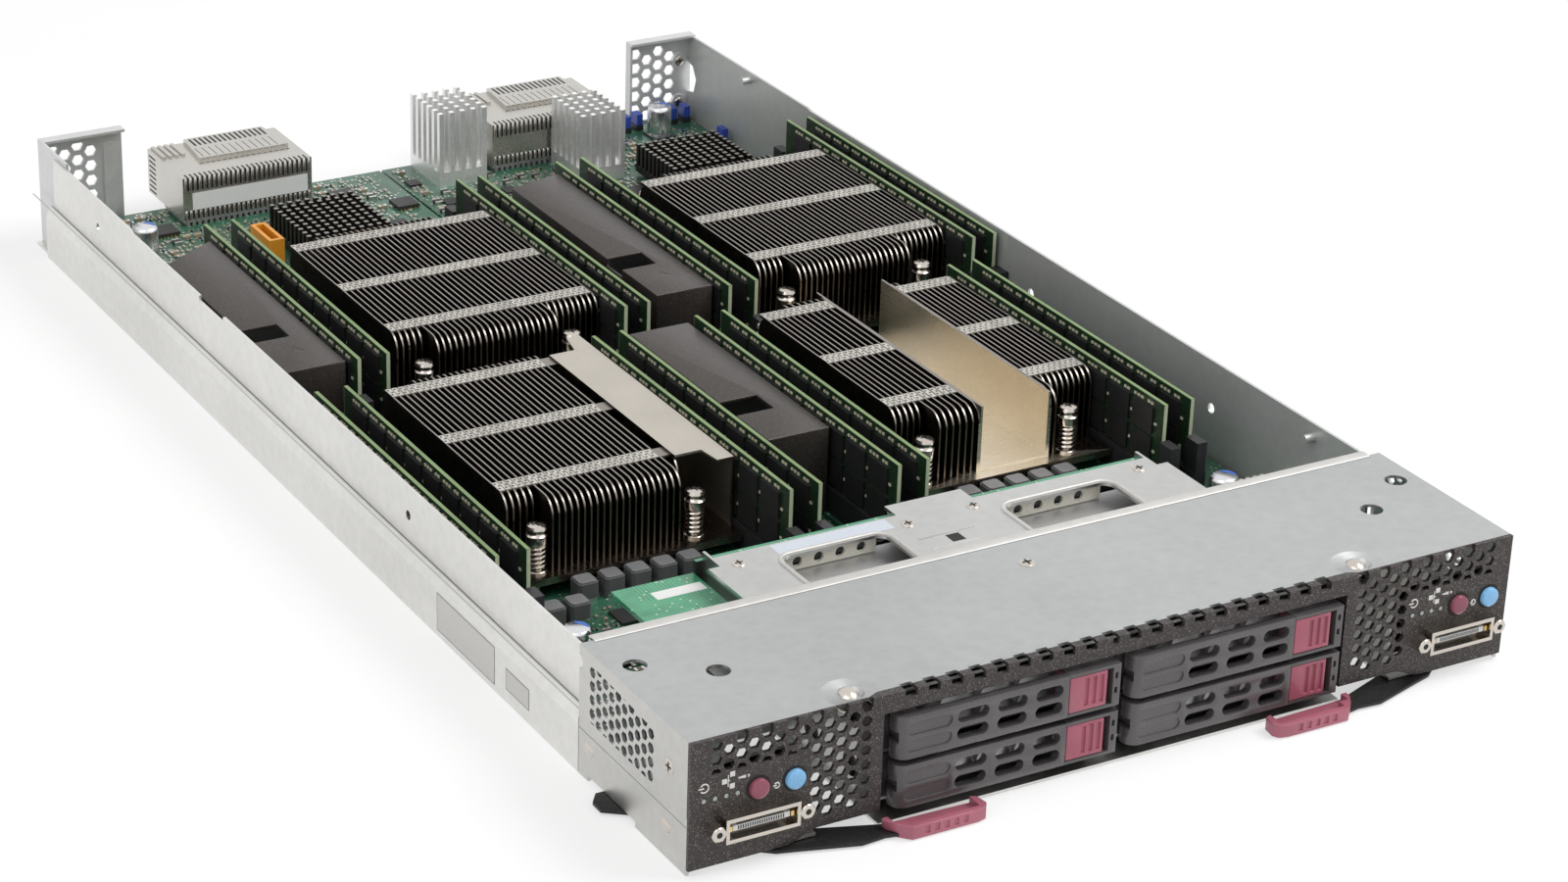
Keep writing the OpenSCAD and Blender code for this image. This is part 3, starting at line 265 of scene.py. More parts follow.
def moulded_plastic(name, colour, roughness=0.42, coat=0.0):
    """Moulded plastic: fine spark-erosion texture and slightly uneven colour."""
    f = Finish(name, colour, roughness=roughness, coat=coat)
    skin = f.noise(3000, 3, 0.65)
    cloud = f.noise(60, 3, 0.5)
    tone = f.band(cloud * 0.6 + skin * 0.4, 0.35, 0.65)
    f.set("Base Color", f.blend(tone, shade(colour, 0.86), shade(colour, 1.18, 0.004)))
    f.sheen(skin, roughness - 0.07, roughness + 0.08)
    f.relief(skin, 0.00003, 0.5)
    return f.material


def bright_metal(name, colour, roughness=0.22, brush=(1, 1, 1)):
    """Plated or machined metal: fine brushing and small tonal drifts."""
    f = Finish(name, colour, metallic=1.0, roughness=roughness)
    lines = f.noise(2400, 3, 0.6, brush)
    cloud = f.noise(45, 2, 0.5)
    tone = f.band(lines * 0.6 + cloud * 0.4, 0.3, 0.7)
    f.set("Base Color", f.blend(tone, shade(colour, 0.82), colour))
    f.sheen(lines, roughness - 0.05, roughness + 0.1)
    f.relief(lines, 0.00001, 0.4)
    return f.material


def circuit_board(name, mask, trace):
    """Solder mask over copper: bundles of fine traces, vias and small tonal islands."""
    f = Finish(name, mask, roughness=0.32, coat=0.25)
    x, y = f.position()
    turn = f.part(f.cells(70, output=1, settings={"distance": "CHEBYCHEV"}), 0)
    across = f.node("ShaderNodeMix", {"data_type": "FLOAT"}, {0: turn > 0.5, 2: x, 3: y})
    lines = (across * 5200.0).math("SINE")
    wide = f.noise(160, 2, 0.5)
    tracks = f.band(lines, 0.35, 0.6) * (turn.math("FRACT") > 0.25)
    vias = f.cells(420) < 0.16
    tone = f.blend(f.band(wide, 0.4, 0.6), shade(mask, 0.75), mask)
    tone = f.blend(tracks * 0.75, tone, trace)
    f.set("Base Color", f.blend(vias * 1.0, tone, (0.55, 0.62, 0.5)))
    f.relief(tracks, 0.00003, 0.6)
    return f.material


def fin_metal(name):
    """Nickel-plated fins, coloured by which way each face looks.

    The near-black flanks are painted shade between the fins; the lighter fronts and tops are painted
    light, and the bright rounded shoulders a painted highlight.
    """
    f = Finish(name, (0.06, 0.05, 0.045), metallic=1.0, roughness=0.34)
    up = f.facing(2)
    along = abs(f.facing(1))
    haze = f.noise(300, 2, 0.5)
    # painted shade: the flanks between the fins are darkened
    flank = f.blend(haze, (0.035, 0.03, 0.026), (0.085, 0.07, 0.058))
    # painted light: faces that look forward or back are lightened
    tone = f.blend(f.band(along, 0.6, 0.9), flank, (0.2, 0.165, 0.135))
    # painted light: faces that look up are lighter still
    tone = f.blend(f.band(up, 0.85, 0.98), tone, (0.29, 0.265, 0.24))
    # painted highlight: a bright band where faces look both up and forward
    f.set("Base Color", f.blend(f.band(up * along, 0.25, 0.45), tone, (0.31, 0.285, 0.25)))
    f.sheen(haze, 0.26, 0.4)
    return f.material


def pin_metal(name, side, top):
    """Anodised pins: one tone down the flanks and another on the cut tops."""
    f = Finish(name, side, metallic=0.7, roughness=0.36)
    up = f.facing(2)
    grain = f.noise(1200, 2, 0.5)
    flank = f.blend(grain, shade(side, 0.8), shade(side, 1.15))
    f.set("Base Color", f.blend(f.band(up, 0.6, 0.9), flank, top))
    f.sheen(grain, 0.3, 0.44)
    return f.material


def flat_print(name, colour, fleck):
    """Paper or ink on a small flat place: a fibre grain and a slight unevenness."""
    f = Finish(name, colour, roughness=0.6)
    grain = f.noise(1800, 3, 0.6)
    f.set("Base Color", f.blend(f.band(grain, 0.35, 0.7), colour, fleck))
    f.sheen(grain, 0.5, 0.7)
    return f.material


def tab_metal(name):
    """Sheared tabs across the fins: pale satin nickel, each tab a little different."""
    f = Finish(name, (0.6, 0.56, 0.49), metallic=0.75, roughness=0.42)
    each = f.cells(450, output=1, stretch=(1, 0.05, 0.05))
    f.set("Base Color", f.blend(f.part(each, 0), (0.47, 0.45, 0.41), (0.64, 0.62, 0.57)))
    f.sheen(f.noise(900, 2, 0.5), 0.36, 0.5)
    return f.material


LID_SCREW = (54.6, 5.8)
LID_SCREWS = place([[x, LID_SCREW[1], 0] for x in (LID_SCREW[0], BLADE_W - LID_SCREW[0])])[:, :2].tolist()
FINISHES = {
    # Tones of one zinc-coated sheet: the lid's is darkened as painted shade for the greyer sky it mirrors,
    # and the right wall's and brackets' are lightened as painted light for the shade they stand in.
    "lid_steel": galvanised_steel("lid_steel", (0.48, 0.488, 0.488), 0.38, LID_SCREWS),
    "tray_steel": galvanised_steel("tray_steel", (0.73, 0.725, 0.7), 0.36),
    "side_steel": galvanised_steel("side_steel", (0.56, 0.555, 0.535), 0.36),
    "wall_steel": galvanised_steel("wall_steel", (0.56, 0.57, 0.56), 0.34, metallic=0.35),
    "bracket_steel": galvanised_steel("bracket_steel", (0.66, 0.665, 0.66), 0.34, metallic=0.45),
    # painted highlight: the hem's steel is lighter than the lid's; the tray's edge bead and window rims share
    # it
    "hem_steel": galvanised_steel("hem_steel", (0.6, 0.59, 0.565), 0.5, metallic=0.6),
    "cage_steel": galvanised_steel("cage_steel", (0.56, 0.56, 0.55), 0.3),
    "bezel": powder_coat("bezel_powder_coat", (0.042, 0.036, 0.034), (0.3, 0.27, 0.25)),
    "chrome": bright_metal("chrome", (0.66, 0.61, 0.55), 0.16),
    "board": circuit_board("circuit_board", (0.03, 0.12, 0.07), (0.08, 0.24, 0.15)),
    "adapter": circuit_board("adapter_board", (0.05, 0.32, 0.16), (0.1, 0.42, 0.24)),
    "carrier": moulded_plastic("carrier_plastic", (0.085, 0.078, 0.08), 0.3, coat=0.25),
    "drive": bright_metal("drive_aluminium", (0.6, 0.6, 0.6), 0.4),
    "burgundy": moulded_plastic("burgundy_plastic", (0.39, 0.094, 0.14), 0.36, coat=0.15),
    "grip": moulded_plastic("grip_plastic", (0.42, 0.125, 0.175), 0.38, coat=0.15),
    "wine": moulded_plastic("wine_button_plastic", (0.27, 0.06, 0.1), 0.35, coat=0.2),
    "lever": powder_coat("lever_black", (0.014, 0.013, 0.013), (0.07, 0.07, 0.07), 0.45),
    "blue": moulded_plastic("blue_plastic", (0.22, 0.52, 0.86), 0.25, coat=0.4),
    "port": bright_metal("port_steel", (0.62, 0.6, 0.56), 0.24),
    "lamp": moulded_plastic("lamp_plastic", (0.36, 0.4, 0.36), 0.25, coat=0.5),
    "baffle": powder_coat("baffle_sheet", (0.05, 0.042, 0.038), (0.16, 0.14, 0.125), 0.34),
    "black": moulded_plastic("black_plastic", (0.018, 0.018, 0.02), 0.45),
    "fins": fin_metal("fin_metal"),
    "tab": tab_metal("tab_metal"),
    "channel": bright_metal("brushed_channel", (0.9, 0.82, 0.69), 0.28, (0.06, 1, 1)),
    "cover": bright_metal("cover_strip", (0.6, 0.56, 0.495), 0.38, (1, 0.06, 1)),
    "black_sink": pin_metal("black_sink", (0.03, 0.027, 0.025), (0.3, 0.28, 0.25)),
    "bright_sink": pin_metal("bright_sink", (0.9, 0.9, 0.88), (0.95, 0.95, 0.93)),
    "blue_header": moulded_plastic("blue_header", (0.025, 0.07, 0.42), 0.38),
    "white_header": moulded_plastic("white_header", (0.72, 0.7, 0.62), 0.4),
    "orange_header": moulded_plastic("orange_header", (0.78, 0.32, 0.02), 0.36),
    "shadow": moulded_plastic("slot_shadow", (0.006, 0.006, 0.006), 0.7),
    "module": moulded_plastic("module_board", (0.012, 0.034, 0.015), 0.3, coat=0.2),
    "module_edge": moulded_plastic("module_cut_edge", (0.52, 0.58, 0.4), 0.5),
    "module_top": moulded_plastic("module_top_edge", (0.2, 0.29, 0.12), 0.45),
    "pad": moulded_plastic("tinned_pad", (0.66, 0.62, 0.46), 0.35),
    "bronze": bright_metal("bronze_base", (0.36, 0.3, 0.25), 0.2, (1, 0.2, 1)),
    "sticker": flat_print("blank_sticker", (0.7, 0.69, 0.66), (0.64, 0.63, 0.6)),
    "inner_cream": flat_print("cage_inner_face", (0.72, 0.69, 0.6), (0.62, 0.6, 0.52)),
    "cage_label": flat_print("blank_cage_label", (0.66, 0.7, 0.76), (0.6, 0.64, 0.71)),
    # printed sticker borders, and also the lines of painted shade along seams and before the lid's bead
    "rim": flat_print("sticker_border_and_shade_line", (0.2, 0.2, 0.2), (0.28, 0.28, 0.28)),
    "chip": moulded_plastic("chip_mould", (0.016, 0.016, 0.017), 0.4),
    "solder": bright_metal("solder", (0.78, 0.77, 0.74), 0.25),
    "gold": bright_metal("contact_gold", (0.85, 0.62, 0.25), 0.25),
    "ceramic": moulded_plastic("ceramic_body", (0.36, 0.27, 0.17), 0.4),
    "choke": moulded_plastic("choke_core", (0.1, 0.1, 0.105), 0.5),
    "choke_top": moulded_plastic("choke_top", (0.2, 0.2, 0.205), 0.4),
    "comb": moulded_plastic("comb_plastic", (0.22, 0.22, 0.22), 0.45),
    "label": flat_print("blank_label", (0.85, 0.85, 0.84), (0.8, 0.8, 0.79)),
    "mark": flat_print("panel_print", (0.8, 0.79, 0.76), (0.66, 0.65, 0.62)),
    "emboss": bright_metal("embossed_line", (0.42, 0.39, 0.35), 0.35),
    "can": bright_metal("capacitor_sleeve", (0.76, 0.77, 0.8), 0.24, (1, 1, 0.1)),
    "can_mark": moulded_plastic("capacitor_mark", (0.05, 0.16, 0.6), 0.4),
}


def dress(node, finish):
    """Gives a CAD node its finish through its material slots."""
    mesh = NODES[node].data
    if not mesh.materials:
        mesh.materials.append(None)
    for i in range(len(mesh.materials)):
        mesh.materials[i] = FINISHES[finish]


SIDES = ("left", "right")
BAYS = range(1, 5)
PLAIN = {
    "tray_steel": ["base_tray", "left_wall"],
    "bracket_steel": ["rear_bracket_left", "rear_bracket_right"],
    "wall_steel": ["right_wall"],
    "chrome": ["lever_pivots", "front_ports"],
    "board": ["mainboard_left", "mainboard_right"],
    "drive": [f"drive_{bay}" for bay in BAYS] + ["processors"],
    "black": ["memory_sockets", "processor_sockets"],
    "black_sink": ["chip_sinks"],
    "bright_sink": ["tall_sinks"],
}
for finish, nodes in PLAIN.items():
    for node in nodes:
        dress(node, finish)


# ---------------------------------------------------------------- shapes

BODY_OF = {node: body for body, nodes in frame["record"]["behaviour"]["bodies"].items() for node in nodes}
UNIT_BOX = np.array([[x, y, z] for z in (0, 1) for y in (0, 1) for x in (0, 1)], float)
BOX_FACES = np.array([[0, 2, 3, 1], [4, 5, 7, 6], [0, 1, 5, 4], [2, 6, 7, 3], [0, 4, 6, 2], [1, 3, 7, 5]])


def points_at(x, y, z):
    """Rows of points, from three coordinates that are each a number or an array of numbers."""
    return np.stack(np.broadcast_arrays(x, y, z), -1)


def line(start, end, steps=3):
    """Evenly spaced points from one end to the other."""
    return np.linspace(start, end, steps)


class Shells:
    """Closed shells gathered into one piece; each face carries the number of its finish."""

    def __init__(self):
        self.points = []
        self.faces = []
        self.slots = []
        self.count = 0

    def add(self, points, faces, slot=0):
        """Takes corner-frame points and faces of any number of corners."""
        points = np.asarray(points, float).reshape(-1, 3)
        for group in faces:
            group = np.asarray(group, int) + self.count
            self.faces.extend(group.tolist())
            self.slots.extend([slot] * len(group))
        self.points.append(points)
        self.count += len(points)

    def boxes(self, lows, highs, slot=0):
        """Boxes between low and high corners: low + (high - low) * the unit box, all at once."""
        lows, highs = np.broadcast_arrays(np.atleast_2d(np.asarray(lows, float)), np.atleast_2d(highs))
        points = lows[:, None] + (highs - lows)[:, None] * UNIT_BOX
        first = np.arange(len(lows))[:, None, None] * 8
        self.add(points, [(BOX_FACES + first).reshape(-1, 4)], slot)

    def row(self, x, y, z, size, slot=0):
        """Equal boxes with their low corners at a row of places."""
        lows = points_at(x, y, z)
        self.boxes(lows, lows + size, slot)

    def turned(self, profile, centres, sides=16, slot=0, axis=2):
        """Revolves (radius, height) points round an axis at each centre; flat caps close both ends."""
        profile = np.asarray(profile, float)
        centres = np.atleast_2d(np.asarray(centres, float))
        angle = np.arange(sides) * 2 * np.pi / sides
        ring = np.stack([np.cos(angle), np.sin(angle)], -1)
        rim = profile[:, None, :1] * ring
        rise = np.broadcast_to(profile[:, None, 1:], rim.shape[:2] + (1,))
        shape = np.concatenate([rim, rise], -1)
        shape = np.roll(shape, axis + 1, axis=-1) if axis != 2 else shape
        points = centres[:, None, None] + shape
        k = len(profile)
        grid = np.arange(k * sides).reshape(k, sides)
        quads = np.stack([grid[:-1], np.roll(grid[:-1], -1, 1), np.roll(grid[1:], -1, 1), grid[1:]], -1)
        first = (np.arange(len(centres)) * k * sides)[:, None, None]
        caps = np.stack([grid[0][::-1], grid[-1]])
        walls = (quads.reshape(-1, 4) + first).reshape(-1, 4)
        self.add(points, [walls, (caps + first).reshape(-1, sides)], slot)

    def tube(self, path, radius, sides=6, slot=0):
        """Carries a circle along a path; at each point it lies across the path's own direction."""
        path = np.asarray(path, float)
        along = np.gradient(path, axis=0)
        along /= np.linalg.norm(along, axis=1, keepdims=True)
        side = np.cross(along, [0.03, 0.05, 1.0])
        side /= np.linalg.norm(side, axis=1, keepdims=True)
        over = np.cross(side, along)
        angle = np.arange(sides) * 2 * np.pi / sides
        ring = side[:, None] * np.cos(angle)[:, None] + over[:, None] * np.sin(angle)[:, None]
        points = path[:, None] + radius * ring
        grid = np.arange(len(path) * sides).reshape(len(path), sides)
        quads = np.stack([grid[:-1], grid[1:], np.roll(grid[1:], -1, 1), np.roll(grid[:-1], -1, 1)], -1)
        caps = np.stack([grid[0], grid[-1][::-1]])
        self.add(points, [quads.reshape(-1, 4), caps], slot)

    def strokes(self, path, radius, slot=0):
        """A thin bar along each straight part of a path."""
        for start, end in zip(path[:-1], path[1:]):
            self.tube(line(start, end), radius, 4, slot)

    def plate(self, outline, low, high, slot=0, axis=2):
        """Draws a flat outline, counter-clockwise, out along an axis."""
        outline = np.asarray(outline, float)
        n = len(outline)
        flat = [np.column_stack([outline, np.full(n, level)]) for level in (low, high)]
        points = np.concatenate(flat)
        points = np.roll(points, axis + 1, axis=1) if axis != 2 else points
        k = np.arange(n)
        sides = np.stack([k, np.roll(k, -1), np.roll(k, -1) + n, k + n], -1)
        self.add(points, [sides, np.stack([k[::-1], k + n])], slot)

    def piece(self, name, body, finishes, stands_for=(), round_edges=0.0, smooth=None):
        """Makes the Blender piece, gives it its finishes and lets it ride on a CAD body."""
        mesh = bpy.data.meshes.new(name)
        mesh.from_pydata(place(np.concatenate(self.points)).tolist(), [], self.faces)
        mesh.polygons.foreach_set("material_index", np.array(self.slots, np.int32))
        for finish in finishes:
            mesh.materials.append(FINISHES[finish])
        made = bpy.data.objects.new(name, mesh)
        bpy.context.scene.collection.objects.link(made)
        finish_edges(made, round_edges, smooth)
        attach(made, body)
        if stands_for:
            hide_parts(*stands_for)
        return made


def finish_edges(piece, width, smooth=None, moulded=True):
    """Rounds sharp edges by that many millimetres, or only smooths faces below an angle.

    A moulded piece is shaded smoothly between its rounded edges; folded sheet stays flat.
    """
    mesh = piece.data
    if width > 0:
        bevel = piece.modifiers.new("edges", "BEVEL")
        bevel.width = width / 1000
        bevel.segments = 2
        bevel.limit_method = "ANGLE"
        bevel.angle_limit = math.radians(35)
        bevel.harden_normals = moulded
    if smooth:
        mesh.shade_smooth()
        mesh.set_sharp_from_angle(angle=math.radians(smooth))
    elif width > 0 and moulded:
        mesh.shade_smooth()
    else:
        mesh.shade_flat()


def merged_copy(node):
    """A CAD node's loose triangles as one joined bmesh."""
    shape = bmesh.new()
    shape.from_mesh(NODES[node].data)
    bmesh.ops.remove_doubles(shape, verts=shape.verts, dist=2e-6)
    return shape


def softened(node, finish, width, moulded=True, regions=()):
    """A merged copy of a CAD node with rounded edges, which stands for the node.

    A region is a finish and a test on face middles in corner-frame millimetres.
    """
    shape = merged_copy(node)
    bmesh.ops.dissolve_limit(shape, angle_limit=math.radians(0.6), verts=shape.verts, edges=shape.edges)
    mesh = bpy.data.meshes.new(node + "_softened")
    shape.to_mesh(mesh)
    shape.free()
    mesh.materials.append(FINISHES[finish])
    middles = np.empty(len(mesh.polygons) * 3)
    mesh.polygons.foreach_get("center", middles)
    middles = (middles.reshape(-1, 3) - CORNER) * 1000
    slots = np.zeros(len(middles), np.int32)
    for number, (other, test) in enumerate(regions, 1):
        mesh.materials.append(FINISHES[other])
        slots[test(middles)] = number
    mesh.polygons.foreach_set("material_index", slots)
    made = bpy.data.objects.new(node + "_softened", mesh)
    bpy.context.scene.collection.objects.link(made)
    finish_edges(made, width, moulded=moulded)
    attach(made, BODY_OF[node])
    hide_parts(node)
    return made


def grid_of(*axes):
    """Every combination of the given coordinates, as rows."""
    return np.stack(np.meshgrid(*axes, indexing="ij"), -1).reshape(-1, len(axes))


def node_points(node):
    """A CAD node's vertices, in corner-frame millimetres."""
    data = NODES[node].data
    points = np.empty(len(data.vertices) * 3)
    data.vertices.foreach_get("co", points)
    return (points.reshape(-1, 3) - CORNER) * 1000


# ---------------------------------------------------------------- sheet metal and mouldings

# Where a piece changes its finish: the lid's hem, the cage's inner faces and the backplane's front face.
# BACKPLANE_STEP is the height of the backplane's flat front part.
LID_BACK = corners("side_plates")[1][1]
HEM = 0.3
CAGE_TOP = corners("drive_cage")[1][2]
CAGE_INSIDE = 93
BACKPLANE = corners("drive_backplane")[1]
BACKPLANE_DEEP = 9
BACKPLANE_STEP = 30.6
SHEETS = {
    "front_lid": ("lid_steel", 0.12, [
        # painted light: the lid's own side faces take the side plates' lighter steel
        ("side_steel", lambda m: np.abs(m[:, 0] - BLADE_W / 2) > BLADE_W / 2 - 0.05),
        # painted highlight: the lid's rolled hem takes the lighter hem steel
        ("hem_steel", lambda m: m[:, 1] > LID_BACK - HEM),
    ]),
    "side_plates": ("side_steel", 0.12, []),
    "bezel": ("bezel", 0.1, []),
    "drive_cage": ("cage_steel", 0.15, [
        ("inner_cream", lambda m: (m[:, 1] > CAGE_INSIDE) & (m[:, 2] < CAGE_TOP - 2) & (m[:, 2] > 12)),
    ]),
    "drive_backplane": ("adapter", 0, [
        ("shadow", lambda m: (m[:, 1] > BACKPLANE[1] - BACKPLANE_DEEP) & (m[:, 1] < BACKPLANE[1] - 0.7)
         & (m[:, 2] < BACKPLANE[2] - 0.1)),
    ]),
}
for node, (finish, width, regions) in SHEETS.items():
    softened(node, finish, width, moulded=False, regions=regions)

MOULDINGS = {f"air_baffle_{spot}": ("baffle", 0.35) for spot in ("side", "rear", "front")}
for kind, finish, width in (("", "carrier", 0.22), ("handle_", "carrier", 0.3), ("latch_", "burgundy", 0.3)):
    MOULDINGS.update({f"carrier_{kind}{bay}": (finish, width) for bay in BAYS})
for side in SIDES:
    MOULDINGS[f"lever_arm_{side}"] = ("lever", 0.15)
    MOULDINGS[f"lever_grip_{side}"] = ("grip", 0.5)
for node, (finish, width) in MOULDINGS.items():
    softened(node, finish, width)


# ---------------------------------------------------------------- heat sinks

# Tab rows are middles in Y from the front of the fins; a slit is its shift along Y and across X in its tab.
# The captive screws of a sink are counted from its low corner.
SINKS = ["heat_sink_rear_left", "heat_sink_rear_right", "heat_sink_front_left", "heat_sink_front_right"]
SINK_FOOT = BOARD_TOP + 5
SINK_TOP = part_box("heat_sink_rear_left")[1].z * 1000
BASE_T = 2.4
BASE_TOP = SINK_FOOT + BASE_T
LIP = 5.0
FIN_T = 0.6
FIN_GAPS = (1.5, 3.5)
TAB_ROWS = (16.7, 55.5, 95.5)
TAB_W = 6.0
TAB_T = 0.42
TAB_SLITS = ((1.1, 0.35), (2.85, 1.05), (4.6, 0.35))
SCREW_FROM = (6.5, 6.0)
SCREW_SPAN = (56.5, 104.0)


def fin_starts(node):
    """The left flank of each fin, read from the flat upper parts of the fins."""
    points = node_points(node)
    crown = points[(points[:, 2] > SINK_TOP - 6.5) & (points[:, 2] < SINK_TOP - 0.9)]
    faces = np.unique(np.round(crown[:, 0], 2))
    return faces[:-1][np.abs(np.diff(faces) - FIN_T) < 0.08]


def fin_tabs(node):
    """Interlocked tabs over the fins: one plate for each fin and row, with dark slits between them."""
    starts = fin_starts(node)
    gaps = np.diff(starts)
    starts = starts[:-1][(gaps > FIN_GAPS[0]) & (gaps < FIN_GAPS[1])]
    first = corners(node)[0][1] + LIP
    shells = Shells()
    for row in TAB_ROWS:
        spots = points_at(starts + 0.04, first + row - TAB_W / 2 - 0.1, SINK_TOP - 0.2)
        shells.boxes(spots, spots + [1.95, TAB_W + 0.2, TAB_T], 0)
        for along, across in TAB_SLITS:
            slits = spots + [across, along, TAB_T]
            shells.boxes(slits, slits + [0.62, 0.85, 0.02], 1)
    shells.piece(node + "_tabs", "chassis", ["tab", "shadow"])


LEFT_END = corners("heat_sink_front_left")[1][0]
COVER_W = 16.1
CHANNEL_X = corners("heat_sink_front_right")[0][0] + 28.2
CHANNEL_W = 25.8
IN_BASE = ("bronze", lambda m: m[:, 2] < BASE_TOP + 0.01)
for side in SIDES:
    softened(f"heat_sink_rear_{side}", "fins", 0, moulded=False, regions=[IN_BASE])
softened("heat_sink_front_left", "fins", 0, moulded=False, regions=[
    IN_BASE,
    ("cover", lambda m: (m[:, 0] > LEFT_END - COVER_W) & (m[:, 2] > SINK_TOP - 1.5)),
    ("cover", lambda m: (m[:, 0] > LEFT_END - 1.2) & (m[:, 2] > BASE_TOP)),
])
softened("heat_sink_front_right", "fins", 0, moulded=False, regions=[
    IN_BASE,
    ("channel", lambda m: (np.abs(m[:, 0] - CHANNEL_X - CHANNEL_W / 2) < CHANNEL_W / 2 + 0.1)
     & (m[:, 2] > BASE_TOP - 0.1)),
])
for sink in SINKS:
    fin_tabs(sink)


# A captive screw's profiles, as radius and height over the sink's base, and its coil spring.
SCREW_STEM = [(1.7, -7.3), (1.7, 0), (3.4, 0), (3.4, 0.7), (3.0, 1.0), (1.9, 1.0), (1.9, 10)]
SCREW_HEAD = [(2.0, 9.6), (3.1, 9.8), (3.35, 10.2), (3.35, 12.9), (2.9, 13.2), (2.5, 13.8), (2.5, 14.4),
              (3.2, 14.8), (3.35, 15.3), (2.9, 16.2), (1.9, 16.55)]
SCREW_SLOTS = ((1.6, 0.3), (0.3, 1.6))
COIL_R = 2.75
COIL_WIRE_R = 0.45
COIL_TURNS = 5
COIL_FOOT = 1.4
COIL_H = 8.0


def captive_screws():
    """Sprung screws: a washer and stem, a coil spring and a tall waisted head with a cross recess.

    The coil is a circle's point with its height rising evenly from the coil's foot.
    """
    corner = [corners(sink)[0][:2] + SCREW_FROM for sink in SINKS]
    spots = np.concatenate([low + grid_of([0, SCREW_SPAN[0]], [0, SCREW_SPAN[1]]) for low in corner])
    seats = points_at(spots[:, 0], spots[:, 1], BASE_TOP)
    shells = Shells()
    shells.turned(SCREW_STEM, seats, 16)
    shells.turned(SCREW_HEAD, seats, 24)
    turn = np.linspace(0, 2 * np.pi * COIL_TURNS, 81)
    coil = points_at(COIL_R * np.cos(turn), COIL_R * np.sin(turn), COIL_FOOT + COIL_H * turn / turn[-1])
    for seat in seats:
        shells.tube(coil + seat, COIL_WIRE_R)
    for x, y in SCREW_SLOTS:
        shells.boxes(seats + [-x, -y, 16.5], seats + [x, y, 16.6], 1)
    shells.piece("captive_screws", "chassis", ["chrome", "shadow"], ["spring_screws"], smooth=40)


captive_screws()


# ---------------------------------------------------------------- memory

# Chip rows are heights over the module's seat; a pad is its shift in Y from a chip and its height.
MODULE_SEAT = BOARD_TOP + 3
CUT_EDGE = 0.14
CHIP_PITCH = 13.6
CHIP_ROWS = (7.0, 17.6)
CHIP_SIZE = [0.9, 11.3, 9.2]
PADS = [(0.8, 27.6), (2.6, 27.6), (6.4, 27.6), (8.4, 27.6), (10.4, 27.6), (-1.7, 11), (-1.7, 21)]
PAD_SIZE = [0.3, 1.25, 0.85]
CONTACT_PITCH = 2.1
CONTACT_SIZE = [0.03, 1.3, 3.2]


def module_places(node):
    """Left face, right face, first and last Y of each module, read from the top edges of the boards."""
    points = node_points(node)
    crown = points[points[:, 2] > points[:, 2].max() - 0.05]
    faces = np.unique(np.round(crown[:, 0], 2))
    places = []
    for left, right in zip(faces[::2], faces[1::2]):
        mates = crown[np.abs(crown[:, 0] - left) < 0.02]
        places.append((left, right, mates[:, 1].min(), mates[:, 1].max()))
    return places


def memory_modules(node):
    """Memory modules: a dark board with pale cut edges, two rows of nine chips a side and small parts."""
    shells = Shells()
    top = corners(node)[1][2]
    for left, right, y0, y1 in module_places(node):
        shells.boxes([left, y0 + 0.1, MODULE_SEAT], [right, y1 - 0.1, top - CUT_EDGE], 0)
        shells.boxes([left, y0, top - CUT_EDGE], [right, y1, top], 5)
        for start in (y0, y1 - CUT_EDGE):
            shells.boxes([left, start, MODULE_SEAT + 5], [right, start + CUT_EDGE, top - CUT_EDGE], 1)
        chips = y0 + 5.4 + np.arange(9) * CHIP_PITCH
        contacts = y0 + 4 + np.arange(60) * CONTACT_PITCH
        for face, out in ((left, -1), (right, 1)):
            for foot in CHIP_ROWS:
                shells.row(min(face, face + out * CHIP_SIZE[0]), chips, MODULE_SEAT + foot, CHIP_SIZE, 2)
            for shift, foot in PADS:
                x = min(face, face + out * PAD_SIZE[0])
                shells.row(x, chips + shift, MODULE_SEAT + foot, PAD_SIZE, 3)
            shells.row(min(face, face + out * CONTACT_SIZE[0]), contacts, MODULE_SEAT + 3, CONTACT_SIZE, 4)
    finishes = ["module", "module_edge", "chip", "pad", "gold", "module_top"]
    shells.piece(node + "_dressed", "chassis", finishes, [node])


for side in SIDES:
    memory_modules(f"memory_modules_{side}")


# ---------------------------------------------------------------- small parts on the boards

STANDING = ("chip_sinks", "tall_sinks", "rear_connectors", "capacitors", "power_chokes", "board_headers",
            "memory_sockets", "rear_bracket_left", "rear_bracket_right")
REAR_EDGE = corners("mainboard_left")[1][1]
FRONT_EDGE = corners("mainboard_left")[0][1]
RIGHT_NODE = corners("mainboard_right")[0][0] - corners("mainboard_left")[0][0]
BANK_Y = module_places("memory_modules_left")[0][2]
# Parts of the left board that show, as corners in X and Y; the right board has the same ones.
ZONES = [
    ((6, 419), (138, REAR_EDGE - 1)),
    ((50, 398), (126, 420)),
    ((6, FRONT_EDGE + 2), (56, BANK_Y - 8)),
    ((24, BANK_Y - 7), (104, BANK_Y + 23)),
    ((24, 268), (104, 284)),
]
SQUARE = 5.0
# Width and depth, gap to the next, height, finish, share that is kept, and finish of soldered ends.
SMALL_PARTS = [
    ((9.5, 9.5), 12, 1.1, 0, 0.35, None),
    ((5, 6), 8, 1.0, 0, 0.5, None),
    ((3, 4.2), 5, 1.3, 0, 0.5, 1),
    ((3.4, 1.9), 4, 1.3, 2, 0.55, 1),
    ((1.0, 1.9), 1.3, 0.6, 2, 0.5, 1),
    ((1.9, 1.0), 1.5, 0.55, 0, 0.5, 1),
    ((0.7, 1.2), 1.2, 0.35, 1, 0.55, None),
]


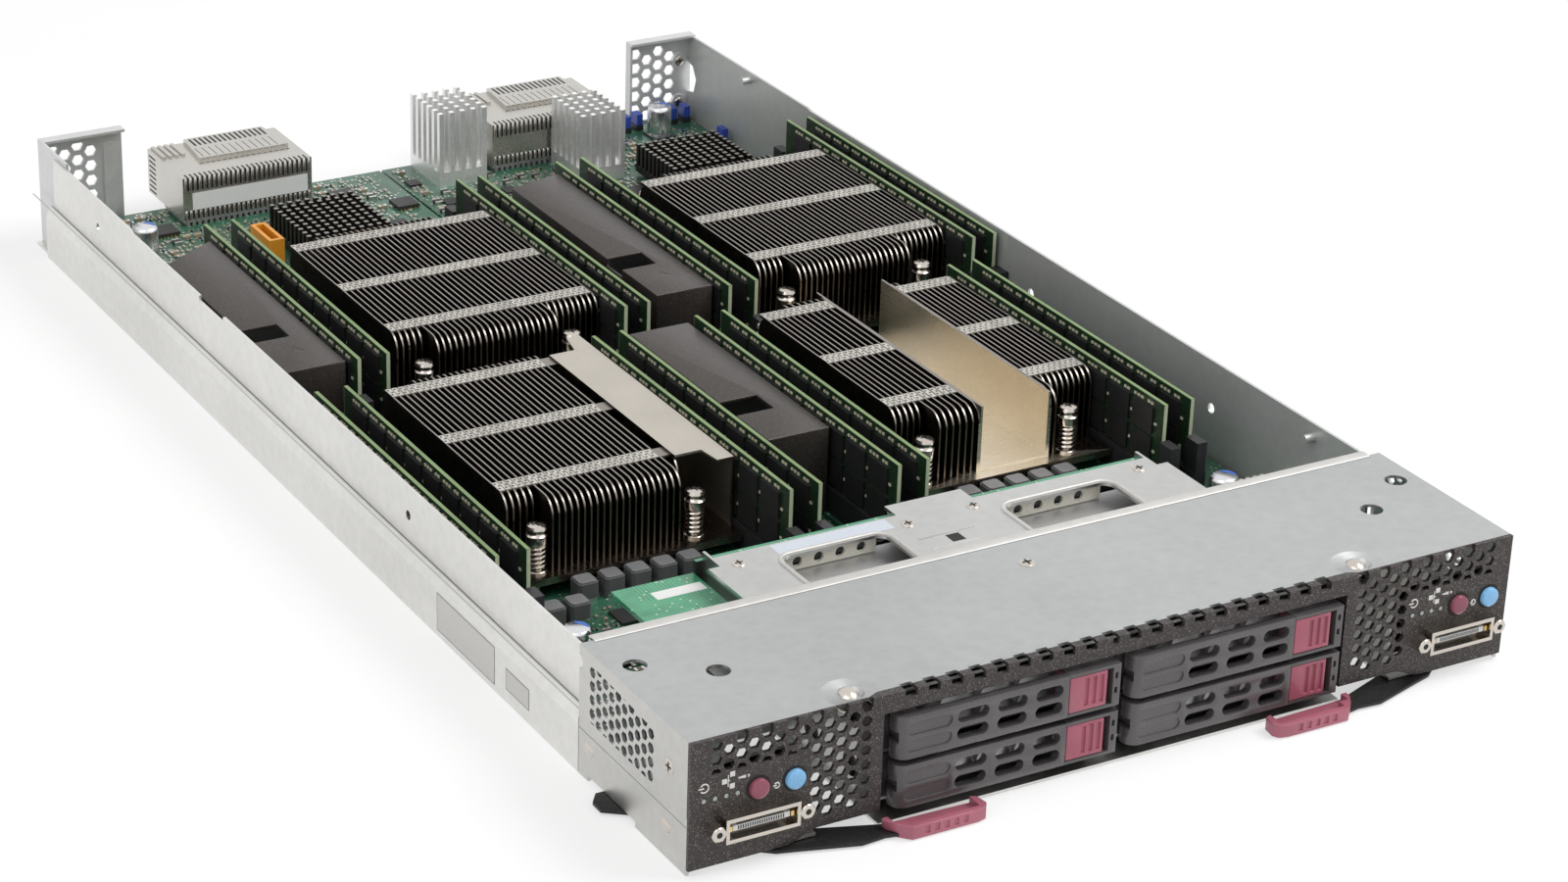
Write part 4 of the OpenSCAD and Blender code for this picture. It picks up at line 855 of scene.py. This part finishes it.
def taken_places():
    """Small squares over everything that already stands on the boards."""
    squares = [np.unique(np.round(node_points(node)[:, :2] / SQUARE), axis=0) * SQUARE for node in STANDING]
    spots = np.concatenate(squares)
    return [(spots - 3.0, spots + 3.0)]


def stands_clear(spots, size, blocked):
    """Which rectangles of one size touch none of the blocked ones."""
    clear = np.ones(len(spots), bool)
    for lows, highs in blocked:
        touch = (spots[:, None] < highs[None]).all(-1) & (spots[:, None] + size > lows[None]).all(-1)
        clear &= ~touch.any(1)
    return clear


def scatter(shells, zone, blocked, size, gap, height, slot, share, ends):
    """Sets parts of one size on a loose grid over a zone and keeps those that stand clear."""
    low, high = np.array(zone, float)
    size = np.array(size, float)
    count = np.maximum(((high - low) // (size + gap)).astype(int), 1)
    spots = low + grid_of(np.arange(count[0]), np.arange(count[1])) * (size + gap)
    spots = spots + RANDOM.uniform(0, gap * 0.8, spots.shape)
    spots = spots[RANDOM.random(len(spots)) < share]
    spots = spots[stands_clear(spots, size, blocked) & ((spots + size) < high).all(1)]
    if len(spots) == 0:
        return
    lows = np.column_stack([spots, np.full(len(spots), BOARD_TOP)])
    shells.boxes(lows, lows + [*size, height], slot)
    if ends is not None:
        way = int(size[1] > size[0])
        cap = np.array([*size, height + 0.04])
        cap[way] *= 0.24
        shift = np.zeros(3)
        shift[way] = size[way] * 0.76
        for start in (lows, lows + shift):
            shells.boxes(start - [0.03, 0.03, 0], start + cap + [0.03, 0.03, 0], ends)
    blocked.append((spots - 0.2, spots + size + 0.2))


def board_parts():
    """Chips, resistors and small capacitors over the parts of the boards that show."""
    shells = Shells()
    blocked = taken_places()
    for low, high in ZONES:
        for shift in (0, RIGHT_NODE):
            zone = ((low[0] + shift, low[1]), (high[0] + shift, high[1]))
            for part in SMALL_PARTS:
                scatter(shells, zone, blocked, *part)
    shells.piece("board_parts", "chassis", ["chip", "solder", "ceramic"])


board_parts()


def solids_of(node):
    """Lowest and highest corner of each separate solid of a node, found by walking its joined vertices."""
    shape = merged_copy(node)
    found = []
    seen = set()
    for first in shape.verts:
        if first in seen:
            continue
        stack = [first]
        seen.add(first)
        group = []
        while stack:
            vertex = stack.pop()
            group.append(vertex.co[:])
            for edge in vertex.link_edges:
                other = edge.other_vert(vertex)
                if other not in seen:
                    seen.add(other)
                    stack.append(other)
        group = (np.array(group) - CORNER) * 1000
        found.append((group.min(0), group.max(0)))
    shape.free()
    return found


def power_chokes():
    """Cube inductors: a dark body with cut corners and a paler pressed top."""
    shells = Shells()
    for low, high in solids_of("power_chokes"):
        width, depth = (high - low)[:2]
        cut = 0.9
        outline = [[cut, 0], [width - cut, 0], [width, cut], [width, depth - cut], [width - cut, depth],
                   [cut, depth], [0, depth - cut], [0, cut]]
        shells.plate(np.array(outline) + low[:2], low[2], high[2] - 0.5, 0)
        inner = (np.array(outline) - [width / 2, depth / 2]) * 0.86 + [width / 2, depth / 2]
        shells.plate(inner + low[:2], high[2] - 0.5, high[2], 1)
        shells.boxes(low + [0.8, -0.02, 0], low + [width - 0.8, 0.4, 1.4], 2)
    shells.piece("power_chokes_dressed", "chassis", ["choke", "choke_top", "solder"], ["power_chokes"],
                 round_edges=0.2)


power_chokes()


CAN_R = 4.9
CAN_TOP = 12.95
CAN_PROFILE = [(4.9, 0.6), (4.9, 1.2), (4.6, 1.7), (4.6, 2.1), (4.9, 2.7), (4.95, 11.2), (4.7, 12.2),
               (4.1, 12.8), (3.9, CAN_TOP)]


def capacitors():
    """Aluminium cans: a waisted sleeve on a square base, with a coloured sector on the crimped top."""
    shells = Shells()
    for low, high in solids_of("capacitors"):
        foot = np.array([*(low + high)[:2] / 2, BOARD_TOP])
        shells.turned(CAN_PROFILE, [foot], 40, 0)
        shells.boxes(foot - [CAN_R, CAN_R, 0], foot + [CAN_R, CAN_R, 0.7], 2)
        turn = np.linspace(-0.5, 1.4, 12)
        sector = foot[:2] + 3.85 * np.stack([np.cos(turn), np.sin(turn)], -1)
        shells.plate(sector, BOARD_TOP + CAN_TOP, BOARD_TOP + CAN_TOP + 0.04, 1)
    shells.piece("capacitors_dressed", "chassis", ["can", "can_mark", "chip"], ["capacitors"], smooth=40)


capacitors()


def board_headers():
    """Connectors and jumpers: an open orange slot, a white power header, blue two-pin caps and sockets."""
    shells = Shells()
    finish = {"slot": 0, "white": 1, "blue": 2, "black": 3, "gold": 4}
    for low, high in solids_of("board_headers"):
        width, depth, height = high - low
        middle = (low + high) / 2
        if depth > 12:
            lip = 1.5
            floor = high[2] - 4
            shells.boxes(low, [high[0], high[1], floor], finish["slot"])
            for a, b in (((0, 0), (lip, depth)), ((width - lip, 0), (width, depth)),
                         ((lip, 0), (width - lip, lip)), ((lip, depth - lip), (width - lip, depth))):
                shells.boxes([low[0] + a[0], low[1] + a[1], floor],
                             [low[0] + b[0], low[1] + b[1], high[2]], finish["slot"])
            shells.boxes([low[0] + lip, low[1] + lip, floor],
                         [high[0] - lip, high[1] - lip, high[2] - 3.9], finish["black"])
        elif height > 8:
            shells.boxes(low, [high[0], high[1], high[2] - 3], finish["white"])
            for i in range(4):
                x = low[0] + i * (width - 1.4) / 3
                shells.boxes([x, low[1], high[2] - 3], [x + 1.4, high[1], high[2]], finish["white"])
        elif height > 4:
            shells.boxes(low, [high[0], high[1], low[2] + 2.3], finish["black"])
            shells.boxes([low[0] + 0.2, low[1] + 0.2, low[2] + 2.3],
                         [high[0] - 0.2, high[1] - 0.2, high[2]], finish["blue"])
            for y in (low[1] + 1.3, high[1] - 1.9):
                shells.boxes([middle[0] - 0.35, y, high[2] - 0.04], [middle[0] + 0.35, y + 0.7, high[2]],
                             finish["gold"])
        else:
            shells.boxes(low, high, finish["black"])
            pins = low[0] + 0.6 + np.arange(6) * (width - 1.6) / 5
            for y in (low[1] - 0.9, high[1]):
                shells.row(pins, y, low[2], [0.5, 0.9, 0.5], finish["gold"])
    shells.piece("board_headers_dressed", "chassis",
                 ["orange_header", "white_header", "blue_header", "black", "gold"], ["board_headers"],
                 round_edges=0.15)


board_headers()


# A connector shell's width, its lowest and highest Z, and how many comb teeth and spring fingers it has.
SHELL_W = 53.5
SHELL_Z = (BOARD_TOP + 2, BOARD_TOP + 19.5)
TEETH = 22
FINGERS = 27
RIDGE_H = 1.4


def rear_connectors():
    """Spring-fingered connector shells over a plastic comb, each with a raised slotted ridge behind."""
    low, high = corners("rear_connectors")
    front = low[1]
    back = high[1]
    z0, z1 = SHELL_Z
    shells = Shells()
    for x0 in (low[0], high[0] - SHELL_W):
        shells.boxes([x0, front + 0.7, z0], [x0 + SHELL_W, back, z1], 0)
        shells.boxes([x0, front + 0.2, BOARD_TOP + 1.4], [x0 + SHELL_W, front + 20, z0], 2)
        teeth = x0 + 1.0 + np.arange(TEETH) * (SHELL_W - 3.4) / (TEETH - 1)
        shells.row(teeth, front + 0.2, BOARD_TOP, [1.3, 18, 1.4], 2)
        fingers = x0 + 1.2 + np.arange(FINGERS) * (SHELL_W - 2.4) / (FINGERS - 1)
        for z, height in ((z1 - 5.6, 5.5), (z0 + 0.2, 3.9)):
            profile = [(0.3, 0), (0.66, 0.3), (0.66, height - 0.5), (0.3, height)]
            shells.turned(profile, points_at(fingers, front + 0.75, z), 10)
            shells.boxes([x0 + 0.5, front + 0.64, z + 0.3],
                         [x0 + SHELL_W - 0.5, front + 0.7, z + height - 0.3], 1)
        shells.row(fingers[:-1] + 0.62, front + 0.9, z1, [0.72, 3.4, 0.03], 1)
        shells.row(x0 + 12 + np.arange(16) * 2.4, front + 12.6, z1, [1.7, 0.5, 0.03], 1)
        ridge = [[x0 + 13, front + 15], [x0 + 50, front + 15], [x0 + 48, back], [x0 + 15, back]]
        shells.plate(ridge, z1, z1 + RIDGE_H, 0)
        shells.row(x0 + 16.4 + np.arange(15) * 2.1, back - 8.5, z1 + 1.37, [0.9, 7.4, 0.05], 1)
        shells.row(x0 + 15 + np.arange(12) * 2.8, front + 16, z1 + 1.36, [0.3, 9, 0.05], 1)
        shells.row(x0 + 1.2 + np.arange(4) * 2.6, back - 13, z1, [1.5, 12.6, 0.8], 0)
        shells.row(x0 - 0.03, back - 8, z0 + 1 + np.arange(8) * 2.0, [0.04, 6.5, 0.7], 1)
    shells.boxes([low[0] + 3.6, front - 0.05, z0 + 4.4], [low[0] + 51.4, front + 0.12, z1 - 6.2], 3)
    shells.piece("rear_connectors_dressed", "chassis", ["port", "shadow", "comb", "label"],
                 ["rear_connectors"], smooth=45)


rear_connectors()


# ---------------------------------------------------------------- fixings


def domed_screws(node, name):
    """Low domed heads with a cross recess, in the place of a node's plain heads.

    A head points along its thinnest side: up, forward from the bezel, or outward from a side face. The
    dome's radius falls with the cosine and its height grows with the sine of one angle.
    """
    shells = Shells()
    for low, high in solids_of(node):
        middle = (low + high) / 2
        size = high - low
        axis = int(np.argmin(size))
        radius = size.max() / 2
        depth = size[axis] - 0.03
        side = 1 if axis == 2 or (axis == 0 and middle[0] > BLADE_W / 2) else -1
        base = middle.copy()
        base[axis] = low[axis] if side > 0 else high[axis]
        turn = np.linspace(0.1, np.pi / 2, 6)
        dome = [(radius * np.cos(a), depth * (0.25 + 0.75 * np.sin(a)) * side) for a in turn[:-1]]
        profile = [(radius, 0)] + dome + [(radius * 0.12, depth * side)]
        shells.turned(profile if side > 0 else profile[::-1], [base], 28, 0, axis)
        for a, b in ((0.58, 0.13), (0.13, 0.58)):
            half = np.zeros(3)
            others = [i for i in range(3) if i != axis]
            half[others[0]] = radius * a
            half[others[1]] = radius * b
            tip = base.copy()
            tip[axis] += (depth + 0.01) * side
            half[axis] = 0.02
            shells.boxes(tip - half, tip + half, 1)
    shells.piece(name, BODY_OF[node], ["chrome", "shadow"], [node], smooth=50)


domed_screws("cover_screws", "cover_screws_dressed")
domed_screws("rivets", "rivets_dressed")


# ---------------------------------------------------------------- small marks, ports and labels

# The two control panels are alike; the right one starts this far from the left one.
PANELS = (0.0, BLADE_W - 41.0)
LAMPS = 4
LAMP_AT = (4.5, 23.4)
LAMP_PITCH = 3.6
LAMP_LENS = [(0.35, -0.2), (0.6, -0.16), (0.72, -0.04), (0.72, 1.0)]
# Printed signs: a ring is its middle in X and Z and its radius; the tree's boxes are their low corners.
RING_MARKS = ((4.6, 27.6, 1.35), (27.9, 22.6, 0.85))
RING_LINE = 0.24
TREE_BOXES = ((10.2, 27.3), (12.7, 25.4), (12.7, 29.2))
TREE_LINES = (((12.15, 26.2), (12.15, 30.0)), ((11.6, 28.1), (12.7, 28.1)))
ALERT_MARK = np.array([[0.2, 0], [0.5, 2.4], [-0.5, 2.4], [-0.2, 0]])
MARK_FACE = -0.02
# A port's middle in X and Z, the four bars of its rim about that middle, and its jackscrews' distance.
PORT_AT = (21.8, 14.0)
PORT_RIM = (((-12.0, 3.1), (12.0, 3.9)), ((-12.0, -3.9), (12.0, -3.1)),
            ((-12.0, -3.1), (-11.1, 3.1)), ((11.1, -3.1), (12.0, 3.1)))
PORT_PINS = 20
JACK_X = 14.3


def arc(x, z, radius, start, end, steps=18):
    """Points of a circle's arc on the bezel's face: the middle plus radius times cosine and sine."""
    turn = np.radians(np.linspace(start, end, steps))
    return points_at(x + radius * np.cos(turn), MARK_FACE, z + radius * np.sin(turn))


def face_bar(shells, panel, start, end, radius, sides):
    """A thin straight bar on a panel's face, between two places given as X and Z."""
    ends = [[x + panel, MARK_FACE, z] for x, z in (start, end)]
    shells.tube(line(*ends), radius, sides)


def push_button(node, finish):
    """A button: rounded cap on a ring of painted shade, turned on the bezel's normal."""
    shells = Shells()
    low, high = corners(node)
    middle = (low + high) / 2
    radius = (high[0] - low[0]) / 2
    depth = high[1] - low[1]
    hub = [[middle[0], low[1], middle[2]]]
    cap = [(radius - 1.8, 0), (radius - 1.2, 0.12), (radius - 0.9, 0.45), (radius - 0.85, depth - 0.2)]
    shells.turned(cap, hub, 40, 0, 1)
    # painted shade: the dark ring round the cap
    shells.turned([(radius, 1.5), (radius, depth)], hub, 40, 1, 1)
    shells.piece(node + "_turned", BODY_OF[node], [finish, "shadow"], [node], smooth=50)


def lamp_row():
    """Four small lenses a side with dark rims, and the closed row below them."""
    shells = Shells()
    spots = [[LAMP_AT[0] + LAMP_PITCH * i + panel, 0, LAMP_AT[1]] for panel in PANELS for i in range(LAMPS)]
    shells.turned(LAMP_LENS, spots, 16, 0, 1)
    shells.turned([(0.98, -0.03), (0.98, 6.0)], spots, 20, 1, 1)
    closed = np.array(spots) - [0, 0, LAMP_PITCH]
    shells.turned([(1.06, -0.012), (1.06, 6.0)], closed, 20, 2, 1)
    node = "indicator_lights"
    shells.piece("lamp_row", BODY_OF[node], ["lamp", "shadow", "bezel"], [node], smooth=50)


def panel_marks():
    """Printed signs by the lamps and buttons: power rings, a network tree and an alert mark."""
    shells = Shells()
    for panel in PANELS:
        for x, z, radius in RING_MARKS:
            shells.tube(arc(x + panel, z, radius, -145, 145), RING_LINE, 5)
            face_bar(shells, panel, (x - radius * 1.4, z), (x - radius * 0.1, z), RING_LINE, 5)
        for x, z in TREE_BOXES:
            shells.boxes([x + panel, -0.06, z], [x + panel + 1.6, 0.02, z + 1.6], 0)
        for start, end in TREE_LINES:
            face_bar(shells, panel, start, end, 0.17, 4)
        shells.plate(ALERT_MARK + [28.2, 15.4 + panel], -0.06, 0.02, 0, 1)
        shells.tube(arc(18.7 + panel, 28.2, 0.22, 0, 300, steps=9), 0.26, 5)
    shells.piece("panel_marks", "chassis", ["mark"])


def port_details():
    """Flared rim and contacts of each port, and the threaded holes of its hexagonal jackscrews."""
    shells = Shells()
    z = PORT_AT[1]
    for panel in PANELS:
        x = PORT_AT[0] + panel
        for low, high in PORT_RIM:
            shells.boxes([x + low[0], -3.98, z + low[1]], [x + high[0], -3.5, z + high[1]], 3)
        shells.boxes([x - 10.85, 1.88, z - 2.65], [x + 10.85, 1.96, z + 2.65], 0)
        shells.boxes([x - 9.13, -2.63, z - 0.83], [x + 9.13, 1.9, z + 0.83], 2)
        pins = x - 7.6 + np.arange(PORT_PINS) * 15.2 / PORT_PINS
        for height in (z + 0.83, z - 0.9):
            shells.row(pins, -2.5, height, [0.4, 4.2, 0.07], 4)
        shells.row(pins, -2.7, z - 0.6, [0.4, 0.07, 1.2], 4)
        for side in (-1, 1):
            post = x + side * 9.95
            shells.boxes([post - 0.5, -2.8, z - 0.8], [post + 0.5, 0.5, z + 0.8], 1)
            hub = [x + side * JACK_X, -4, z]
            shells.turned([(1.3, -0.3), (2.1, -0.25), (2.3, 0.02)], [hub], 24, 3, 1)
            shells.turned([(0.95, -0.31), (0.95, -0.2)], [hub], 24, 5, 1)
    finishes = ["sticker", "gold", "label", "chrome", "chip", "shadow"]
    shells.piece("port_details", "chassis", finishes, smooth=40)


def lid_bead():
    """The rolled bead on the lid's rear edge: an ellipse drawn along X, with a line of painted shadow before
    it.
    """
    shells = Shells()
    turn = np.arange(28) * 2 * np.pi / 28
    y = LID_BACK + 1.05
    ends = (4.5, BLADE_W - 4.5)
    half = 2.15
    outline = np.column_stack([y + half * np.cos(turn), LID_TOP - 0.05 + 0.5 * np.sin(turn)])
    shells.plate(outline, *ends, 0, 0)
    # painted shadow: a dark strip in front of the bead
    shells.boxes([ends[0], y - 2.5, LID_TOP - 0.1], [ends[1], y - half, LID_TOP + 0.02], 1)
    shells.piece("lid_bead", "chassis", ["hem_steel", "rim"], smooth=60)


def wall_seams():
    """Painted shade lines along the left wall, the lid's skirts and the side plates, and the tray's bright
    edge.
    """
    shells = Shells()
    tray = corners("base_tray")[1]
    wall = corners("left_wall")[0]
    # painted shade: a dark line along the step of the left wall
    shells.boxes([wall[0] - 0.3, LID_BACK, tray[2] - 0.05], [wall[0] + 0.01, tray[1] - 16, tray[2] + 0.12], 0)
    skirt = corners("front_lid")[0]
    plate = corners("side_plates")
    # painted shade: dark lines along the foot of the lid's skirts and the side plates' joint
    for face in (-0.03, BLADE_W - 0.05):
        shells.boxes([face, skirt[1], skirt[2] - 0.25], [face + 0.08, LID_BACK, skirt[2]], 0)
        shells.boxes([face, LID_BACK - 0.1, plate[0][2] + 0.3], [face + 0.08, LID_BACK + 0.2, plate[1][2]], 0)
    shells.tube(line([0.25, LID_BACK, tray[2] - 0.15], [0.25, tray[1] - 0.5, tray[2] - 0.15]), 0.25, 8, 1)
    shells.piece("wall_seams", "chassis", ["rim", "hem_steel"], smooth=60)


for side in SIDES:
    push_button(f"power_button_{side}", "wine")
    push_button(f"locator_button_{side}", "blue")
lamp_row()
lid_bead()
wall_seams()


SIDE_STICKERS = ((120.8, 161.0, 2.0, 15.0), (97.8, 113.2, 4.4, 11.6))
STICKER_RIM = 0.35
BRIDGE_TOP = CAGE_TOP - 0.5
BRIDGE_LABEL = ([84.5, 96.6], [125.5, 103.2])
BACKPLANE_LABEL = ([44.1, 99.5], [61.2, 104.4])
# Windows in the cage's bridge: ends in X from the middle between them, and the middles of the corners in Y.
WINDOW_ENDS = ((-61, -24), (19, 59))
WINDOW_MIDDLE = BLADE_W / 2 + 0.65
WINDOW_Y = (77, 91)
WINDOW_CORNER = 4
RIM_CORNER = 5.2


def stickers():
    """Blank stickers with a border on the left side face, and blank labels on the cage and backplane."""
    shells = Shells()
    for y0, y1, z0, z1 in SIDE_STICKERS:
        low = np.array([-0.04, y0, z0])
        high = np.array([0.02, y1, z1])
        rim = np.array([0, STICKER_RIM, STICKER_RIM])
        shells.boxes(low, high, 1)
        shells.boxes(low + rim - [0.02, 0, 0], high - rim, 0)
    low, high = BRIDGE_LABEL
    shells.boxes([*low, BRIDGE_TOP], [*high, BRIDGE_TOP + 0.06], 2)
    low, high = BACKPLANE_LABEL
    shells.boxes([*low, BACKPLANE_STEP - 0.02], [*high, BACKPLANE_STEP + 0.06], 3)
    shells.piece("stickers", "chassis", ["sticker", "rim", "cage_label", "label"])


def window_rims():
    """Rolled rims round the cage's windows: a round section carried round a rounded rectangle.

    Each corner is a quarter circle about its own middle; a dark keyhole and two ribs lie between them.
    """
    shells = Shells()
    turn = np.linspace(0, np.pi / 2, 7)
    for start, end in WINDOW_ENDS:
        left = start + WINDOW_CORNER
        right = end - WINDOW_CORNER
        path = []
        for i, (x, y) in enumerate(((right, WINDOW_Y[1]), (left, WINDOW_Y[1]),
                                    (left, WINDOW_Y[0]), (right, WINDOW_Y[0]))):
            angle = turn + i * np.pi / 2
            path.append(points_at(WINDOW_MIDDLE + x + RIM_CORNER * np.cos(angle),
                                  y + RIM_CORNER * np.sin(angle), BRIDGE_TOP))
        path = np.concatenate(path + [path[0][:1]])
        shells.tube(path, 0.75, 8, 0)
    shells.boxes([136.6, 80.6, BRIDGE_TOP], [141.2, 85.4, BRIDGE_TOP + 0.04], 1)
    for y in (79.4, 86.6):
        shells.tube(line([128, y, BRIDGE_TOP], [148, y, BRIDGE_TOP]), 0.28, 6, 0)
    shells.piece("window_rims", "chassis", ["hem_steel", "shadow"], smooth=60)


# A hollow double arrow about its own middle, as X and Y.
ARROW = np.array([[0, -12], [2.6, -8], [1.1, -8], [1.1, 8], [2.6, 8], [0, 12], [-2.6, 8], [-1.1, 8],
                  [-1.1, -8], [-2.6, -8], [0, -12]], float)
TRIANGLE = np.array([[-2.4, 0], [2.4, 0], [0, 4.5], [-2.4, 0]])


def pressed_arrows():
    """Thin pressed lines: a hollow double arrow on the cover strip and a triangle on two baffles."""
    shells = Shells()
    front = corners("heat_sink_front_left")[0][1]
    arrow = points_at(ARROW[:, 0] + (LEFT_END - 7.6), ARROW[:, 1] + front + 60, SINK_TOP)
    shells.strokes(arrow, 0.13)
    for node in ("air_baffle_side", "air_baffle_rear"):
        low, high = corners(node)
        middle = (low[0] + high[0]) / 2
        shells.strokes(points_at(TRIANGLE[:, 0] + middle, TRIANGLE[:, 1] + low[1] + 14, high[2]), 0.12, 1)
    shells.piece("pressed_arrows", "chassis", ["emboss", "baffle"])


panel_marks()
port_details()
stickers()
window_rims()
pressed_arrows()


# ---------------------------------------------------------------- studio


# The floor in metres, its glow and the share of it that the eye sees, and the world's light on the object.
FLOOR_HALF = 6.0
FLOOR_Z = -0.0002
FLOOR_GLOW = 1.16
FLOOR_SHARE = 0.5
LIGHT_OF_WORLD = 0.55


def studio_floor():
    """A wide pale floor that shows as white and keeps the soft shadow: a flat grid, nine points a side."""
    grid = np.linspace(-FLOOR_HALF, FLOOR_HALF, 9)
    x, y = np.meshgrid(grid, grid)
    points = np.stack([x, y, np.full_like(x, FLOOR_Z)], -1).reshape(-1, 3)
    index = np.arange(81).reshape(9, 9)
    faces = np.stack([index[:-1, :-1], index[:-1, 1:], index[1:, 1:], index[1:, :-1]], -1).reshape(-1, 4)
    mesh = bpy.data.meshes.new("floor")
    mesh.from_pydata(points.tolist(), [], faces.tolist())
    floor = bpy.data.objects.new("floor", mesh)
    bpy.context.scene.collection.objects.link(floor)
    f = Finish("floor_paper", (0.9, 0.9, 0.9), roughness=0.9, specular=0.1)
    f.sheen(f.noise(40, 2, 0.5), 0.85, 0.95)
    glow = f.node("ShaderNodeEmission", None, {"Color": (1, 1, 1, 1), "Strength": FLOOR_GLOW})
    paper = Wire(f, f.shader.outputs["BSDF"])
    mixed = f.node("ShaderNodeMixShader", None, {0: f.looked_at() * FLOOR_SHARE, 1: paper, 2: glow})
    f.feed(f.found("OUTPUT_MATERIAL").inputs["Surface"], mixed)
    mesh.materials.append(f.material)


def lamp(name, spot, target, size, power, colour=(1, 1, 1)):
    """A square area lamp at a spot, aimed at a target; both in metres."""
    data = bpy.data.lights.new(name, "AREA")
    data.energy = power
    data.size = size
    data.color = colour
    made = bpy.data.objects.new(name, data)
    made.location = spot
    aim = Vector(target) - Vector(spot)
    made.rotation_mode = "QUATERNION"
    made.rotation_quaternion = aim.to_track_quat("-Z", "Y")
    bpy.context.scene.collection.objects.link(made)


def studio_world():
    """White to the camera and to reflections, a softer grey as light on the object."""
    world = bpy.data.worlds.new("studio")
    world.use_nodes = True
    bpy.context.scene.world = world
    sky = Nodes(world.node_tree)
    values = {"Value": sky.looked_at(), "To Min": LIGHT_OF_WORLD, "To Max": 1.0}
    strength = sky.node("ShaderNodeMapRange", None, values)
    back = sky.found("BACKGROUND")
    sky.feed(back.inputs["Strength"], strength)
    sky.feed(back.inputs["Color"], (1, 1, 1, 1))


def camera():
    """The view along the blade from its front left corner, a little above."""
    data = bpy.data.cameras.new("camera")
    data.sensor_width = 36
    data.lens = 90.415
    data.shift_x = 0.09375
    made = bpy.data.objects.new("camera", data)
    right = Vector((0.88054, -0.473717, 0.015544))
    up = Vector((0.189526, 0.381971, 0.904532))
    back = Vector((-0.434429, -0.793531, 0.426122))
    made.location = place([-465.87, -817.249, 577.39])
    made.rotation_mode = "QUATERNION"
    made.rotation_quaternion = Matrix((right, up, back)).transposed().to_quaternion()
    bpy.context.scene.collection.objects.link(made)
    bpy.context.scene.camera = made


studio_floor()
studio_world()
lamp("key", (1.0, -0.5, 1.5), (0, 0, 0), 1.0, 18)
lamp("fill", (-1.2, -0.6, 1.5), (0, -0.1, 0), 1.4, 7)
camera()
bpy.context.scene.view_settings.view_transform = "Standard"
